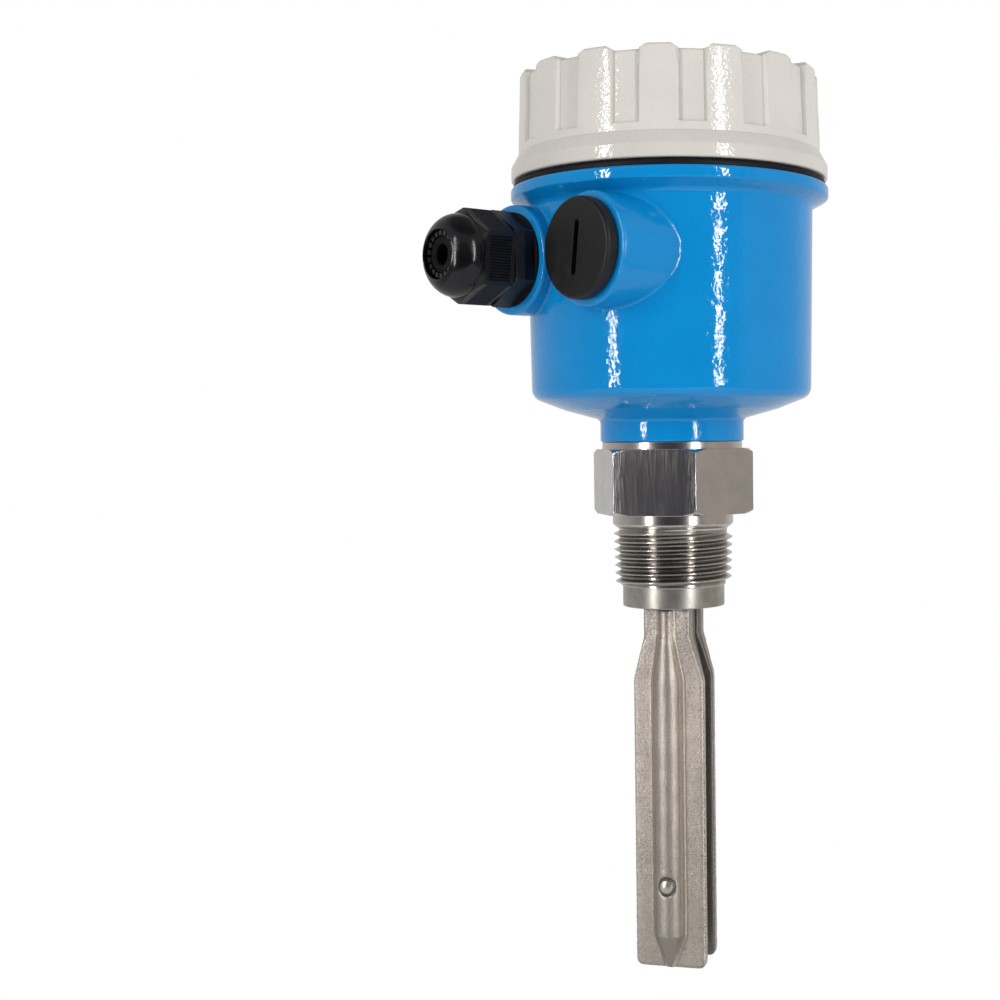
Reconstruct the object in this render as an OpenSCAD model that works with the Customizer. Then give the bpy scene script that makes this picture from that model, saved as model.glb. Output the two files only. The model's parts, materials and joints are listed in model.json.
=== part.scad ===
// Vibrating-fork level switch with a two-entry cast housing and a screw-on cover.
// Millimetres, +Z up along the probe. The origin is on the axis, in the plane of the hexagon's underside.
// The tines face -Y and +Y. The two cable entries leave side by side, turned towards -X from -Y.

/* [Process connection] */
// Width across the flats of the wrench hexagon
hex_flats = 40; // [36:0.5:46]
// Height of the wrench hexagon
hex_h = 18.1; // [12:0.1:24]
// Width of the chamfer that is turned on the hexagon's corners
hex_chamfer = 1.8; // [0.6:0.1:3.2]
// Diameter of the turned ring above the hexagon
ring_d = 39.2; // [38:0.1:39.6]
// Height of the turned ring above the hexagon
ring_h = 2; // [1:0.1:4]
// Diameter of the plain neck under the hexagon
neck_d = 33.8; // [33.6:0.1:35]
// Height of the plain neck under the hexagon
neck_h = 3.6; // [2:0.1:6]
// Largest diameter over the crests of the tapered pipe thread
thread_d = 33.4; // [32.4:0.1:33.6]
// Pitch of the tapered pipe thread
thread_pitch = 2.209; // [1.8:0.001:2.6]
// Number of crests on the thread
thread_turns = 7; // [5:1:8]
// Height of a thread crest over its root
thread_depth = 1.6; // [1:0.05:1.9]
// Diameter of the plain collar under the thread
collar_d = 28.5; // [28.2:0.1:29.2]
// Height of the plain collar under the thread
collar_h = 5.8; // [4:0.1:8]
// Depth of the recess in the collar's end face
collar_recess = 2; // [1:0.1:3]
// Wall of the collar around that recess
collar_wall = 1.8; // [1.5:0.1:2.4]

/* [Fork] */
// Length of the tines below the collar
tine_l = 101; // [70:1:140]
// Width of a tine's paddle
tine_w = 20; // [17:0.1:21.5]
// Thickness of a tine's paddle
tine_t = 3.2; // [2.4:0.1:3.8]
// Clear gap between the two paddles
tine_gap = 8.6; // [6.5:0.1:9.4]
// Width of a tine at its root
root_w = 13.2; // [11:0.1:14]
// Thickness of a tine at its root
root_t = 6.9; // [5:0.1:7.2]
// Clear gap between the two roots
root_gap = 3.8; // [3:0.1:4.4]
// Length of the straight root below the collar
root_l = 8.3; // [5:0.1:12]
// Length over which the root flares out into the paddle
flare_l = 12; // [8:0.1:18]
// Radius of the half-round rib down the paddle
rib_r = 4.3; // [3.4:0.1:4.6]
// Radius of the rib at the root
rib_root_r = 2.3; // [2:0.1:3.2]
// Length of the pointed end of the rib
rib_tip_l = 9.3; // [6:0.1:14]
// Radius of the rib at that pointed end
rib_tip_r = 1.1; // [0.3:0.1:2]
// Distance from the point of the rib to the end of the tine
rib_tip_gap = 0.3; // [0.2:0.1:4]
// Radius of the two bottom corners of a tine
tine_corner_r = 2; // [1:0.1:4]
// Height of the plug's centre over the end of the tine
tine_plug_z = 23.8; // [18:0.1:40]
// Diameter of the domed plug in each rib
tine_plug_d = 4.8; // [3:0.1:5.2]
// Width of the bright ring around the plug
tine_plug_ring = 0.5; // [0.3:0.05:0.8]
// Thickness of the vibrating diaphragm
diaphragm_t = 1.8; // [1.2:0.1:2.6]

/* [Housing] */
// Diameter of the housing's neck
housing_neck_d = 40.1; // [39.8:0.1:42]
// Height of the housing's neck
housing_neck_h = 6.2; // [4:0.1:10]
// Diameter of the housing's body at the bottom
body_d = 77.8; // [76.8:0.1:79.6]
// Draft of the housing's wall, in degrees
body_draft = 0.8; // [0.2:0.1:0.9]
// Height of the conical bottom of the housing
bottom_h = 7.4; // [5:0.1:10]
// Height of the housing's straight wall up to the rim
wall_h = 50.6; // [49:0.1:60]
// Diameter of the housing's flared rim
rim_d = 88; // [87.4:0.1:90]
// Height of the flared rim, with its sloping underside
rim_h = 5.6; // [5:0.1:7]
// Wall of the housing
housing_wall = 4.4; // [3.6:0.1:5]
// Diameter of the threaded spigot that the cover screws on
spigot_d = 76; // [75.6:0.1:76.4]
// Height of that spigot over the rim
spigot_h = 10.9; // [8:0.1:12]

/* [Cable entries] */
// Height of the entries' centre line over the origin
entry_z = 69.2; // [67:0.1:71]
// Angle of the entries from -Y, in degrees
entry_turn = -33.5; // [-60:0.5:-10]
// Distance of each entry's centre line from the housing's centre plane
entry_offset = 16.2; // [15.6:0.1:17.4]
// Distance of the bosses' faces from the housing's axis
boss_face = 43; // [42:0.1:48]
// Diameter of a boss at its face
boss_d = 29.4; // [29:0.1:31]
// Diameter of the threaded entry hole
entry_d = 20; // [18:0.1:20.4]
// Pitch of the entry threads, of the plug and of the gland nut
entry_pitch = 1.5; // [1:0.1:2]

/* [Cover] */
// Diameter of the cover over its grip lands, at the top
cover_d = 82.2; // [81.6:0.1:83]
// Diameter of the cover's skirt
skirt_d = 83.4; // [83.2:0.1:84.4]
// Diameter of the flared lip at the bottom of the cover
lip_d = 87.6; // [86.8:0.1:88]
// Height of that lip, with its slope
lip_h = 7.2; // [6:0.1:8.5]
// Height from the bottom of the cover to the floor of its grooves
groove_z = 9.4; // [8.8:0.1:12]
// Height of the cover to the top of its lands
cover_h = 29.1; // [26:0.1:36]
// Number of grip lands
land_count = 15; // [12:1:16]
// Angle at which the middle of one land stands, in degrees
land_turn = -79; // [-90:1:-66]
// Width of a land at its outer face
land_w = 9.9; // [8:0.1:10.2]
// Width of a land at its foot
land_foot_w = 10.4; // [10:0.1:11.4]
// Depth of the grooves between the lands
groove_depth = 1.1; // [0.7:0.1:1.7]
// Height of the lands over the cover's top face
crown_h = 1.2; // [0.5:0.1:3]
// Radial length of a land on the top face
crown_l = 6; // [4:0.1:10]
// Width of the gap between two lands on the top face
crown_gap = 7.4; // [6:0.1:9]
// Width that each side of that gap gains up to the lands' tops
crown_slope = 1.7; // [0.2:0.1:2.2]
// Thickness of the cover's top
cover_top_t = 3; // [2.4:0.1:5]
// Wall of the cover behind a groove
cover_wall = 3.1; // [2.4:0.1:3.3]
// Pitch of the cover's thread
cover_pitch = 2; // [1:0.5:3]
// Diameter of the cover seal's section
seal_section = 2.6; // [2.2:0.1:2.8]
// Gap between cover and housing in which the seal shows
seal_gap = 1.8; // [1.2:0.1:2]

/* [Gland and blind plug] */
// Width across the flats of the gland's nut and body
gland_flats = 22.4; // [22:0.1:25]
// Height of the gland body's hexagon
gland_hex_h = 5.9; // [4:0.1:8]
// Height of the nut's hexagon
nut_hex_h = 10.2; // [8.6:0.1:13]
// Height of the nut's dome over the hexagon
dome_h = 7; // [6.8:0.1:8]
// Diameter of the dome where it leaves the hexagon
dome_d = 22; // [21.6:0.1:22.2]
// Diameter of the opening in the nut's dome
nut_opening_d = 12.9; // [12.6:0.1:13.8]
// Diameter of the cable hole in the rubber sleeve
cable_hole_d = 5.4; // [4.6:0.1:7.6]
// Number of fingers on the clamping cage
finger_count = 18; // [12:1:20]
// Number of knurl grooves across one face of the nut
knurl_count = 15; // [7:1:17]
// Angle that the nut has stopped at, in degrees
nut_turn = -7; // [-30:1:30]
// Diameter of the blind plug's flange
plug_d = 26; // [25:0.1:27]
// Thickness of that flange
plug_t = 3.4; // [2.4:0.1:4]
// Length of the plug's slot
plug_slot_l = 14; // [10:0.5:18]
// Width of the plug's slot
plug_slot_w = 1.8; // [1.2:0.1:2.4]
// Angle that the slot has stopped at, from upright, in degrees
plug_slot_turn = -8; // [-90:1:90]
// Thickness of the flat seals under the gland and the plug
washer_t = 0.5; // [0.4:0.1:1.5]
// Length of the threaded shanks inside the bosses
shank_l = 8.6; // [6:0.1:9]

/* [Piezo drive] */
// Number of piezo discs in the stack
piezo_count = 4; // [2:2:4]
// Thickness of a piezo disc
piezo_t = 2; // [1.5:0.1:2.4]
// Diameter of the piezo discs
piezo_d = 17; // [14:0.5:17.5]
// Thickness of an electrode plate
electrode_t = 0.3; // [0.2:0.05:0.5]
// Thickness of an insulating ring
insulator_t = 1.5; // [1:0.1:2]
// Thickness of the clamp disc on the stack
clamp_t = 3; // [2:0.1:4]
// Diameter of the stud through the stack
stud_d = 6; // [5:0.5:7]

/* [Electronics] */
// Gap between the electronics cup and the chamber's wall
cup_gap = 2.5; // [1.5:0.5:3.5]
// Height of the electronics cup
cup_h = 17; // [16:0.5:20]
// Wall of the electronics cup
cup_wall = 1.8; // [1.2:0.1:2.4]
// Number of terminals
terminal_count = 5; // [3:1:5]
// Distance from one terminal to the next
terminal_pitch = 7.5; // [6.5:0.1:8]
// Height of the terminal block
terminal_h = 10; // [8:0.5:12]
// Depth of the terminal block, from its wire side to its back
terminal_depth = 13; // [11:0.5:15]
// Travel of the two slide switches
slider_travel = 2; // [1:0.1:2.5]

/* [Fits] */
// Gap between curved faces that move past each other
run_gap = 0.3; // [0.2:0.05:0.4]
// Gap between pieces that are fixed in each other
seat_gap = 0.05; // [0.02:0.01:0.1]

/* [Hidden] */
$fn = 96;
eps = 0.01;

// Heights along the probe, from the fork's end to the cover's top
ring_top = hex_h + ring_h;
thread_top = -neck_h;
thread_l = (thread_turns + 0.4) * thread_pitch;
collar_top = thread_top - thread_l;
collar_end = collar_top - collar_h;
tine_end = collar_end - tine_l;
flare_top = collar_end - root_l;
flare_end = flare_top - flare_l;
diaphragm_z = collar_end + collar_recess;
neck_top = ring_top + housing_neck_h;
wall_z = neck_top + bottom_h;
rim_z = wall_z + wall_h;
rim_top = rim_z + rim_h;
cover_z = rim_top + seal_gap;
spigot_top = rim_top + spigot_h;

// Radii of the housing
body_r = body_d / 2;
body_top_r = body_r + wall_h * tan(body_draft);
inner_r = body_r - housing_wall;
rim_r = rim_d / 2;
spigot_r = spigot_d / 2;
floor_z = wall_z + 3.6;

// The connector's spigot in the housing's neck
fixing_r = 16;
fixing_h = 10;
stem_r = 12;
neck_nut_h = 5;
neck_washer_t = 1;
stem_top = floor_z + neck_washer_t + neck_nut_h + 1;
wire_bore_r = 4.5;
drive_bore_r = 10.2;
drive_bore_top = 8;
neck_taper = 0.9;
fork_skirt_r = collar_d / 2 - collar_wall;
fork_skirt_top = diaphragm_z + diaphragm_t + 8;

// The stack on the diaphragm
stud_boss_h = 3;
stack_z = diaphragm_z + diaphragm_t + stud_boss_h;
electrode_z = stack_z + insulator_t;
piezo_step = piezo_t + electrode_t;
upper_insulator_z = electrode_z + piezo_count * piezo_step + electrode_t;
clamp_z = upper_insulator_z + insulator_t;
stack_nut_z = clamp_z + clamp_t;
stack_nut_h = 4;
lead_r = 0.6;
lead_ring = (piezo_d / 2 + drive_bore_r) / 2;
lead_inner = 2.6;
tab_w = 2;

// The entries, along their own axis from the housing's axis outwards
entry_r = entry_d / 2;
boss_r = boss_d / 2;
boss_edge = 1;
boss_draft = 0.6;
gland_z = boss_face + washer_t;
nut_z = gland_z + gland_hex_h + run_gap;
dome_z = nut_z + nut_hex_h;
gland_front = dome_z + dome_h;
barrel_r = entry_r - run_gap;
barrel_end = nut_z + nut_hex_h - 3;
gland_bore_r = 6.6;
cage_r = gland_bore_r + 1.9;
cage_tip_r = nut_opening_d / 2 - 0.3;
dome_r = dome_h - 0.2;
cage_tip_z = gland_front - 1.5;
cage_wall = 1.2;
cage_foot_z = nut_z + 2;
body_corner_r = gland_flats / sqrt(3) - 0.05;
nut_corner_r = gland_flats / sqrt(3) - 0.4;

// The cover's seal
seal_r = seal_section / 2;
seal_ring_r = rim_r - 0.8 - seal_r;
seal_floor = cover_z - seal_section - 2 * seat_gap;

// The electronics, in the frame of the entries
cup_d = (inner_r - cup_gap) * 2;
cup_z = stem_top + 1;
cup_top = cup_z + cup_h;
board_z = cup_z + 3;
board_t = 1.6;
board_top = board_z + board_t;
block_w = terminal_count * terminal_pitch;
block_y = -7;
terminal_screw_r = 2;
cup_screw_y = 10;
cup_screw_r = 1.5;
pillar_r = 3.6;
cup_screw_x = sqrt(pow(cup_d / 2 - cup_wall - pillar_r - 0.3, 2) - cup_screw_y * cup_screw_y);
earth_y = 27.2;
earth_w = 11;
earth_screw_r = 2;
switch_x = 9;
switch_y = 14;
switch_w = 10;
switch_l = 7.4;
switch_h = 3.4;
slider_pitch = 4.4;
slider_w = 1.8;
slider_l = 2;
slider_h = 1.1;
lamp_y = 14;
lamp_pitch = 7;
lamp_x = -7;
lamp_r = 1.5;
relay_x = cup_d * 0.22;
relay_y = -cup_d * 0.34;
relay_size = [cup_d * 0.44, cup_d * 0.19, cup_h * 0.56];
coil_x = -cup_d * 0.265;
coil_y = -cup_d * 0.09;
coil_w = cup_d * 0.235;
coil_l = cup_d * 0.2;
coil_h = cup_h * 0.18;
coil_step = cup_d * 0.023;
can_r = cup_d * 0.053;
can_h = cup_h * 0.53;
can_x = cup_d * 0.08;
can_pitch = cup_d * 0.14;

// Points of an arc about (x, y), from angle a to angle b in n steps
function arc(x, y, r, a, b, n = 6) = [
    for (i = [0:n]) let (t = a + (b - a) * i / n) [x + r * cos(t), y + r * sin(t)]];

// Crest radius of the tapered thread at height z
function crest_r(z) = thread_d / 2 - (thread_top - z) / 32;

// Places children on a cable entry, with +Z outwards along it, +Y up and the origin on the housing's axis
module at_entry(side) {
    rotate([0, 0, entry_turn]) translate([side * entry_offset, 0, entry_z]) rotate([90, 0, 0]) children();
}

// Turns children into the frame of the entries, which leave towards -Y there
module electronics_frame() {
    rotate([0, 0, entry_turn]) children();
}

module ring(outer, inner, h) {
    difference() {
        cylinder(r = outer, h = h);
        translate([0, 0, -1]) cylinder(r = inner, h = h + 2);
    }
}

// Hexagon with flats across Y, and a 30 degree chamfer of width cut on its corners at the ends
// that are asked for
module chamfered_hex(flats, h, cut, top = true, bottom = true) {
    corner = flats / sqrt(3);
    edge_r = corner - cut;
    slope = (corner - edge_r) * tan(30);
    low = bottom ? slope : 0;
    high = top ? slope : 0;
    intersection() {
        cylinder(r = corner, h = h, $fn = 6);
        rotate_extrude() polygon([[0, 0], [bottom ? edge_r : corner + 1, 0], [corner + (bottom ? 0 : 1), low],
            [corner + (top ? 0 : 1), h - high], [top ? edge_r : corner + 1, h], [0, h]]);
    }
}

// Screw with its head's underside at the origin and its shank down -Z
module slotted_screw(shank_r, shank_l, head_r, head_h) {
    difference() {
        union() {
            translate([0, 0, -shank_l]) cylinder(r = shank_r, h = shank_l + eps, $fn = 32);
            cylinder(r1 = head_r, r2 = head_r * 0.94, h = head_h, $fn = 48);
        }
        translate([-head_r * 1.5, -head_r * 0.14, head_h * 0.5]) cube([head_r * 3, head_r * 0.28, head_h]);
    }
}

// Outline of the housing's outside, with the spigot for the cover
module housing_outline() {
    foot_r = housing_neck_d / 2;
    knee = 3;
    flare = 1.6;
    polygon(concat(
        [[0, ring_top], [foot_r - 0.4, ring_top], [foot_r, ring_top + 0.4]],
        arc(foot_r + 1.2, neck_top - 1.2, 1.2, 180, 105, 4),
        [[foot_r + 4, neck_top + 0.9], [foot_r + 9.5, neck_top + 2.4]],
        arc(body_r - knee, wall_z, knee, -66, 0, 6),
        arc(body_top_r + flare, rim_z - flare / 2, flare, 180, 122, 5),
        [[rim_r - 0.5, rim_z + 2.1]],
        arc(rim_r - 0.6, rim_z + 2.9, 0.6, -45, 0, 3),
        arc(rim_r - 0.9, rim_top - 1.1, 0.8, 0, 60, 3),
        [[rim_r - 0.8, rim_top], [rim_r - 0.8, seal_floor], [seal_ring_r - seal_r - run_gap, seal_floor],
         [seal_ring_r - seal_r - run_gap, rim_top], [spigot_r, rim_top], [spigot_r, spigot_top - 1],
         [spigot_r - 1, spigot_top], [0, spigot_top]]));
}

// Boss of a cable entry, drafted towards its face
module entry_boss() {
    foot = inner_r - 12;
    translate([0, 0, foot]) cylinder(r1 = boss_r + boss_draft, r2 = boss_r, h = boss_face - boss_edge - foot);
    translate([0, 0, boss_face - boss_edge - eps])
        cylinder(r1 = boss_r, r2 = boss_r - boss_edge * 0.7, h = boss_edge + eps);
}

module housing() {
    color([0.09, 0.53, 0.82]) difference() {
        union() {
            difference() {
                union() {
                    rotate_extrude() housing_outline();
                    for (side = [-1, 1]) at_entry(side) entry_boss();
                }
                translate([0, 0, floor_z]) cylinder(r = inner_r, h = spigot_top);
                translate([0, 0, spigot_top - 1]) cylinder(r1 = inner_r, r2 = inner_r + 1.5, h = 1.5);
            }
            electronics_frame() {
                for (side = [-1, 1]) translate([side * cup_screw_x, cup_screw_y, floor_z - eps])
                    cylinder(r = pillar_r, h = cup_z + 2 - floor_z - seat_gap);
                intersection() {
                    translate([-earth_w / 2, earth_y - earth_w / 2, floor_z - eps])
                        cube([earth_w, earth_w + 4, cup_top + 1 - floor_z]);
                    cylinder(r = inner_r + 1, h = rim_top);
                }
            }
        }
        // Neck: the connector's stem, its shoulder and the hole for it in the floor
        translate([0, 0, ring_top - 1]) cylinder(r = fixing_r, h = fixing_h + 1);
        cylinder(r = stem_r + seat_gap, h = floor_z + 1);
        for (side = [-1, 1]) at_entry(side) translate([0, 0, inner_r - 14]) cylinder(r = entry_r, h = 40);
        electronics_frame() {
            for (side = [-1, 1]) translate([side * cup_screw_x, cup_screw_y, floor_z + 1])
                cylinder(r = cup_screw_r, h = cup_h, $fn = 32);
            translate([0, earth_y, cup_top - 8]) cylinder(r = earth_screw_r, h = 12, $fn = 32);
        }
    }
}

// Half section of the cover without its lands, from its bottom edge up
module cover_section() {
    floor_r = cover_d / 2 - groove_depth;
    floor_foot_r = skirt_d / 2 - groove_depth;
    thread_r = spigot_r + run_gap;
    top = cover_h - crown_h;
    ceiling = top - cover_top_t;
    hollow_r = floor_r - cover_wall;
    shoulder = spigot_h - seal_gap + 1.4;
    polygon(concat(
        [[thread_r + 0.5, 0]],
        arc(lip_d / 2 - 0.6, 0.6, 0.6, -90, 0, 4),
        [[lip_d / 2, lip_h * 0.46]],
        arc(lip_d / 2 - 1.2, lip_h * 0.46, 1.2, 0, 38, 3),
        [[skirt_d / 2 + 0.3, lip_h - 0.4], [skirt_d / 2, lip_h], [skirt_d / 2, groove_z],
         [floor_foot_r, groove_z]],
        arc(floor_r - 1, top - 1, 1, 0, 90, 5),
        [[0, top], [0, ceiling]],
        arc(hollow_r - 2, ceiling - 2, 2, 90, 0, 5),
        [[hollow_r, shoulder], [thread_r, shoulder], [thread_r, 0.5]]));
}

// Ring that the lands are cut from
module land_ring_section() {
    inner = cover_d / 2 - crown_l;
    top = cover_h;
    foot_r = skirt_d / 2;
    polygon(concat(
        [[inner, cover_h - crown_h - 1], [foot_r - groove_depth - 1, groove_z - 1], [foot_r, groove_z - 1]],
        arc(cover_d / 2 - 1.1, top - 1.1, 1.1, 0, 90, 5),
        arc(inner + 0.6, top - 0.6, 0.6, 90, 180, 3)));
}

// Plan of the lands: each widens from its outer face to its foot, and keeps that width inwards
module land_plan() {
    face = cover_d / 2;
    foot = face - groove_depth;
    for (i = [0:land_count - 1]) rotate(land_turn + i * 360 / land_count) polygon([
        [face - crown_l - 1, -land_foot_w / 2], [foot, -land_foot_w / 2], [face, -land_w / 2],
        [face + 3, -land_w / 2], [face + 3, land_w / 2], [face, land_w / 2], [foot, land_foot_w / 2],
        [face - crown_l - 1, land_foot_w / 2]]);
}

// Space between two lands on the top face, wider at the top
module crown_channel() {
    low = crown_gap / 2;
    high = low + crown_slope;
    translate([cover_d / 2 - crown_l - 4, 0, cover_h - crown_h - eps]) rotate([90, 0, 90])
        linear_extrude(crown_l + 8)
        polygon([[-low, 0], [low, 0], [high, crown_h + 0.1], [-high, crown_h + 0.1]]);
}

module cover() {
    color([0.80, 0.79, 0.76]) translate([0, 0, cover_z]) union() {
        rotate_extrude() cover_section();
        difference() {
            intersection() {
                rotate_extrude() land_ring_section();
                linear_extrude(cover_h + 1) land_plan();
            }
            for (i = [0:land_count - 1]) rotate(land_turn + (i + 0.5) * 360 / land_count) crown_channel();
        }
    }
}

module cover_seal() {
    color([0.05, 0.05, 0.06]) translate([0, 0, seal_floor + seat_gap + seal_r])
        rotate_extrude() translate([seal_ring_r, 0]) circle(r = seal_r, $fn = 32);
}

// Hexagon of the gland, standing on a corner, with its corners rounded off at radius r
module gland_hex(h, r, front_bevel) {
    intersection() {
        rotate(30) cylinder(r = gland_flats / sqrt(3), h = h, $fn = 6);
        rotate_extrude() polygon([[0, 0], [r, 0], [r, h - front_bevel], [r - front_bevel * 1.2, h], [0, h]]);
    }
}

module gland_body() {
    color([0.09, 0.09, 0.10]) at_entry(-1) difference() {
        union() {
            translate([0, 0, boss_face - shank_l]) cylinder(r = entry_r - seat_gap, h = shank_l + washer_t);
            translate([0, 0, gland_z]) gland_hex(gland_hex_h, body_corner_r, 0.4);
            translate([0, 0, gland_z]) cylinder(r = barrel_r, h = barrel_end - gland_z);
        }
        translate([0, 0, boss_face - shank_l - 1]) cylinder(r = gland_bore_r, h = barrel_end + 2);
        translate([0, 0, cage_foot_z - seat_gap]) cylinder(r = cage_r + seat_gap, h = barrel_end);
    }
}

module gland_washer() {
    color([0.12, 0.12, 0.12]) at_entry(-1)
        translate([0, 0, boss_face]) ring(entry_r + 2.6, entry_r, washer_t);
}

// Clamping cage: a collar in the gland body, with fingers that the nut's dome bends inwards
module gland_cage() {
    color([0.13, 0.13, 0.14]) at_entry(-1) difference() {
        rotate_extrude() polygon([[cage_r - cage_wall, cage_foot_z], [cage_r, cage_foot_z],
            [cage_r, dome_z - 0.6], [cage_tip_r, cage_tip_z - 0.8], [cage_tip_r, cage_tip_z],
            [cage_tip_r - cage_wall, cage_tip_z], [cage_tip_r - cage_wall, cage_tip_z - 0.9],
            [cage_r - cage_wall, dome_z - 1.4]]);
        for (i = [0:finger_count - 1]) rotate(i * 360 / finger_count)
            translate([0, -0.35, nut_z + nut_hex_h / 2]) cube([cage_r + 2, 0.7, gland_front]);
    }
}

module gland_sleeve() {
    gap = run_gap / 3;
    wide = cage_r - cage_wall - gap;
    narrow = cage_tip_r - cage_wall - gap;
    color([0.06, 0.06, 0.06]) at_entry(-1) rotate_extrude() polygon([
        [cable_hole_d / 2, cage_foot_z + seat_gap], [wide, cage_foot_z + seat_gap], [wide, dome_z - 1.6],
        [narrow, cage_tip_z - 1.2], [narrow, cage_tip_z - 0.5], [narrow - 0.4, cage_tip_z - 0.2],
        [cable_hole_d / 2 + 0.4, cage_tip_z - 0.2], [cable_hole_d / 2, cage_tip_z - 0.6]]);
}

module gland_nut() {
    face_x = gland_flats / 2;
    knurl_step = gland_flats / sqrt(3) * 0.86 / knurl_count;
    color([0.09, 0.09, 0.10]) at_entry(-1) rotate(nut_turn) difference() {
        union() {
            translate([0, 0, nut_z]) gland_hex(nut_hex_h, nut_corner_r, 1.2);
            rotate_extrude() polygon(concat([[0, dome_z - 1.5], [dome_d / 2, dome_z - 1.5]],
                arc(dome_d / 2 - dome_r, gland_front - dome_r, dome_r, 0, 68, 8),
                [[nut_opening_d / 2, gland_front], [0, gland_front]]));
        }
        translate([0, 0, nut_z - 1]) cylinder(r = entry_r, h = barrel_end + 1.2 - nut_z);
        rotate_extrude() polygon([[0, barrel_end], [entry_r, barrel_end], [cage_r + run_gap, dome_z - 0.2],
            [cage_tip_r + run_gap, cage_tip_z - 0.2], [nut_opening_d / 2, cage_tip_z],
            [nut_opening_d / 2, gland_front - 0.6], [nut_opening_d / 2 + 0.6, gland_front + eps],
            [0, gland_front + eps]]);
        // Knurl: shallow grooves along the six faces
        for (f = [0:5]) rotate(f * 60) for (i = [0:knurl_count])
            translate([face_x, (i - knurl_count / 2) * knurl_step,
            nut_z + 1.2]) rotate(45) translate([-0.22, -0.22, 0]) cube([0.44, 0.44, nut_hex_h - 3.4]);
    }
}

module blind_plug() {
    edge = 1;
    color([0.11, 0.11, 0.12]) at_entry(1) difference() {
        rotate_extrude() polygon(concat([[0, boss_face - shank_l],
            [entry_r - run_gap - 0.8, boss_face - shank_l],
            [entry_r - run_gap, boss_face - shank_l + 0.8], [entry_r - run_gap, boss_face + washer_t],
            [plug_d / 2 - 0.3, boss_face + washer_t], [plug_d / 2, boss_face + washer_t + 0.3]],
            arc(plug_d / 2 - edge, boss_face + washer_t + plug_t - edge, edge, 0, 90, 5),
            [[0, boss_face + washer_t + plug_t]]));
        translate([0, 0, boss_face - shank_l - 1]) cylinder(r = entry_r - 3, h = shank_l);
        rotate(plug_slot_turn) translate([0, 0, boss_face + washer_t + plug_t - 1.6]) {
            translate([-plug_slot_w / 2, -plug_slot_l / 2 + plug_slot_w / 2, 0])
                cube([plug_slot_w, plug_slot_l - plug_slot_w, 3]);
            for (end = [-1, 1]) translate([0, end * (plug_slot_l - plug_slot_w) / 2, 0])
                cylinder(r = plug_slot_w / 2, h = 3, $fn = 32);
        }
    }
}

module plug_washer() {
    color([0.12, 0.12, 0.12]) at_entry(1) translate([0, 0, boss_face + seat_gap])
        ring(plug_d / 2 - 0.6, entry_r, washer_t - 2 * seat_gap);
}

// Outline of the threaded part, one crest and one root for each turn
module thread_outline() {
    polygon(concat([[0, collar_top - eps], [collar_d / 2, collar_top - eps], [collar_d / 2, collar_top]],
        [for (i = [thread_turns - 1:-1:0]) let (z = thread_top - (i + 0.75) * thread_pitch, r = crest_r(z))
            each [[r - thread_depth, z - thread_pitch * 0.5 + 0.14], [r - 0.1, z - 0.16], [r, z],
                [r - 0.1, z + 0.16],
            [r - thread_depth, z + thread_pitch * 0.5 - 0.14]]],
        [[neck_d / 2 - 1.6, thread_top - 0.1], [neck_d / 2 - neck_taper, thread_top], [0, thread_top]]));
}

module process_connector() {
    groove_z = ring_top + fixing_h / 2;
    color([0.66, 0.64, 0.61]) difference() {
        union() {
            translate([0, 0, 0]) chamfered_hex(hex_flats, hex_h, hex_chamfer);
            rotate_extrude() polygon([[0, hex_h - 1], [ring_d / 2, hex_h - 1], [ring_d / 2, ring_top - 0.3],
                [ring_d / 2 - 0.3, ring_top], [fixing_r - seat_gap, ring_top],
                [fixing_r - seat_gap, groove_z - 1.2], [fixing_r - 2.1, groove_z - 1.2],
                [fixing_r - 2.1, groove_z + 1.2], [fixing_r - seat_gap, groove_z + 1.2],
                [fixing_r - seat_gap, ring_top + fixing_h - seat_gap],
                [stem_r, ring_top + fixing_h - seat_gap],
                [stem_r, stem_top - 0.6], [stem_r - 0.6, stem_top], [0, stem_top]]);
            translate([0, 0, thread_top])
                cylinder(r1 = neck_d / 2 - neck_taper, r2 = neck_d / 2, h = neck_taper);
            translate([0, 0, thread_top + neck_taper]) cylinder(r = neck_d / 2, h = neck_h + 1 - neck_taper);
            rotate_extrude() thread_outline();
            translate([0, 0, collar_end]) cylinder(r1 = collar_d / 2 - 0.2, r2 = collar_d / 2, h = 0.2);
            translate([0, 0, collar_end + 0.2]) cylinder(r = collar_d / 2, h = collar_h - 0.2);
        }
        translate([0, 0, collar_end - 1])
            cylinder(r = fork_skirt_r + seat_gap, h = fork_skirt_top - collar_end + 1);
        translate([0, 0, collar_end]) cylinder(r = drive_bore_r, h = drive_bore_top - collar_end);
        translate([0, 0, collar_end]) cylinder(r = wire_bore_r, h = stem_top - collar_end + 1);
    }
}

// Front outline of one tine, in X and Z
module tine_front() {
    half = tine_w / 2;
    root = root_w / 2;
    c = tine_corner_r;
    polygon(concat([[-root, diaphragm_z + eps], [-root, flare_top], [-half, flare_end]],
        arc(-half + c, tine_end + c, c, 180, 270, 5), arc(half - c, tine_end + c, c, 270, 360, 5),
        [[half, flare_end], [root, flare_top], [root, diaphragm_z + eps]]));
}

// Side outline of one tine, in Y and Z, on the +Y side. A step at the root leaves the diaphragm free to bend.
module tine_side() {
    outer = root_gap / 2 + root_t;
    paddle = tine_gap / 2;
    step_z = collar_end + 0.4;
    polygon([[root_gap / 2, diaphragm_z + eps], [outer - 2, diaphragm_z + eps], [outer - 2, step_z],
        [outer, step_z - 0.4], [outer, flare_top], [paddle + tine_t, flare_end], [paddle + tine_t, tine_end],
        [paddle, tine_end], [paddle, flare_end], [root_gap / 2, flare_top]]);
}

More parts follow.
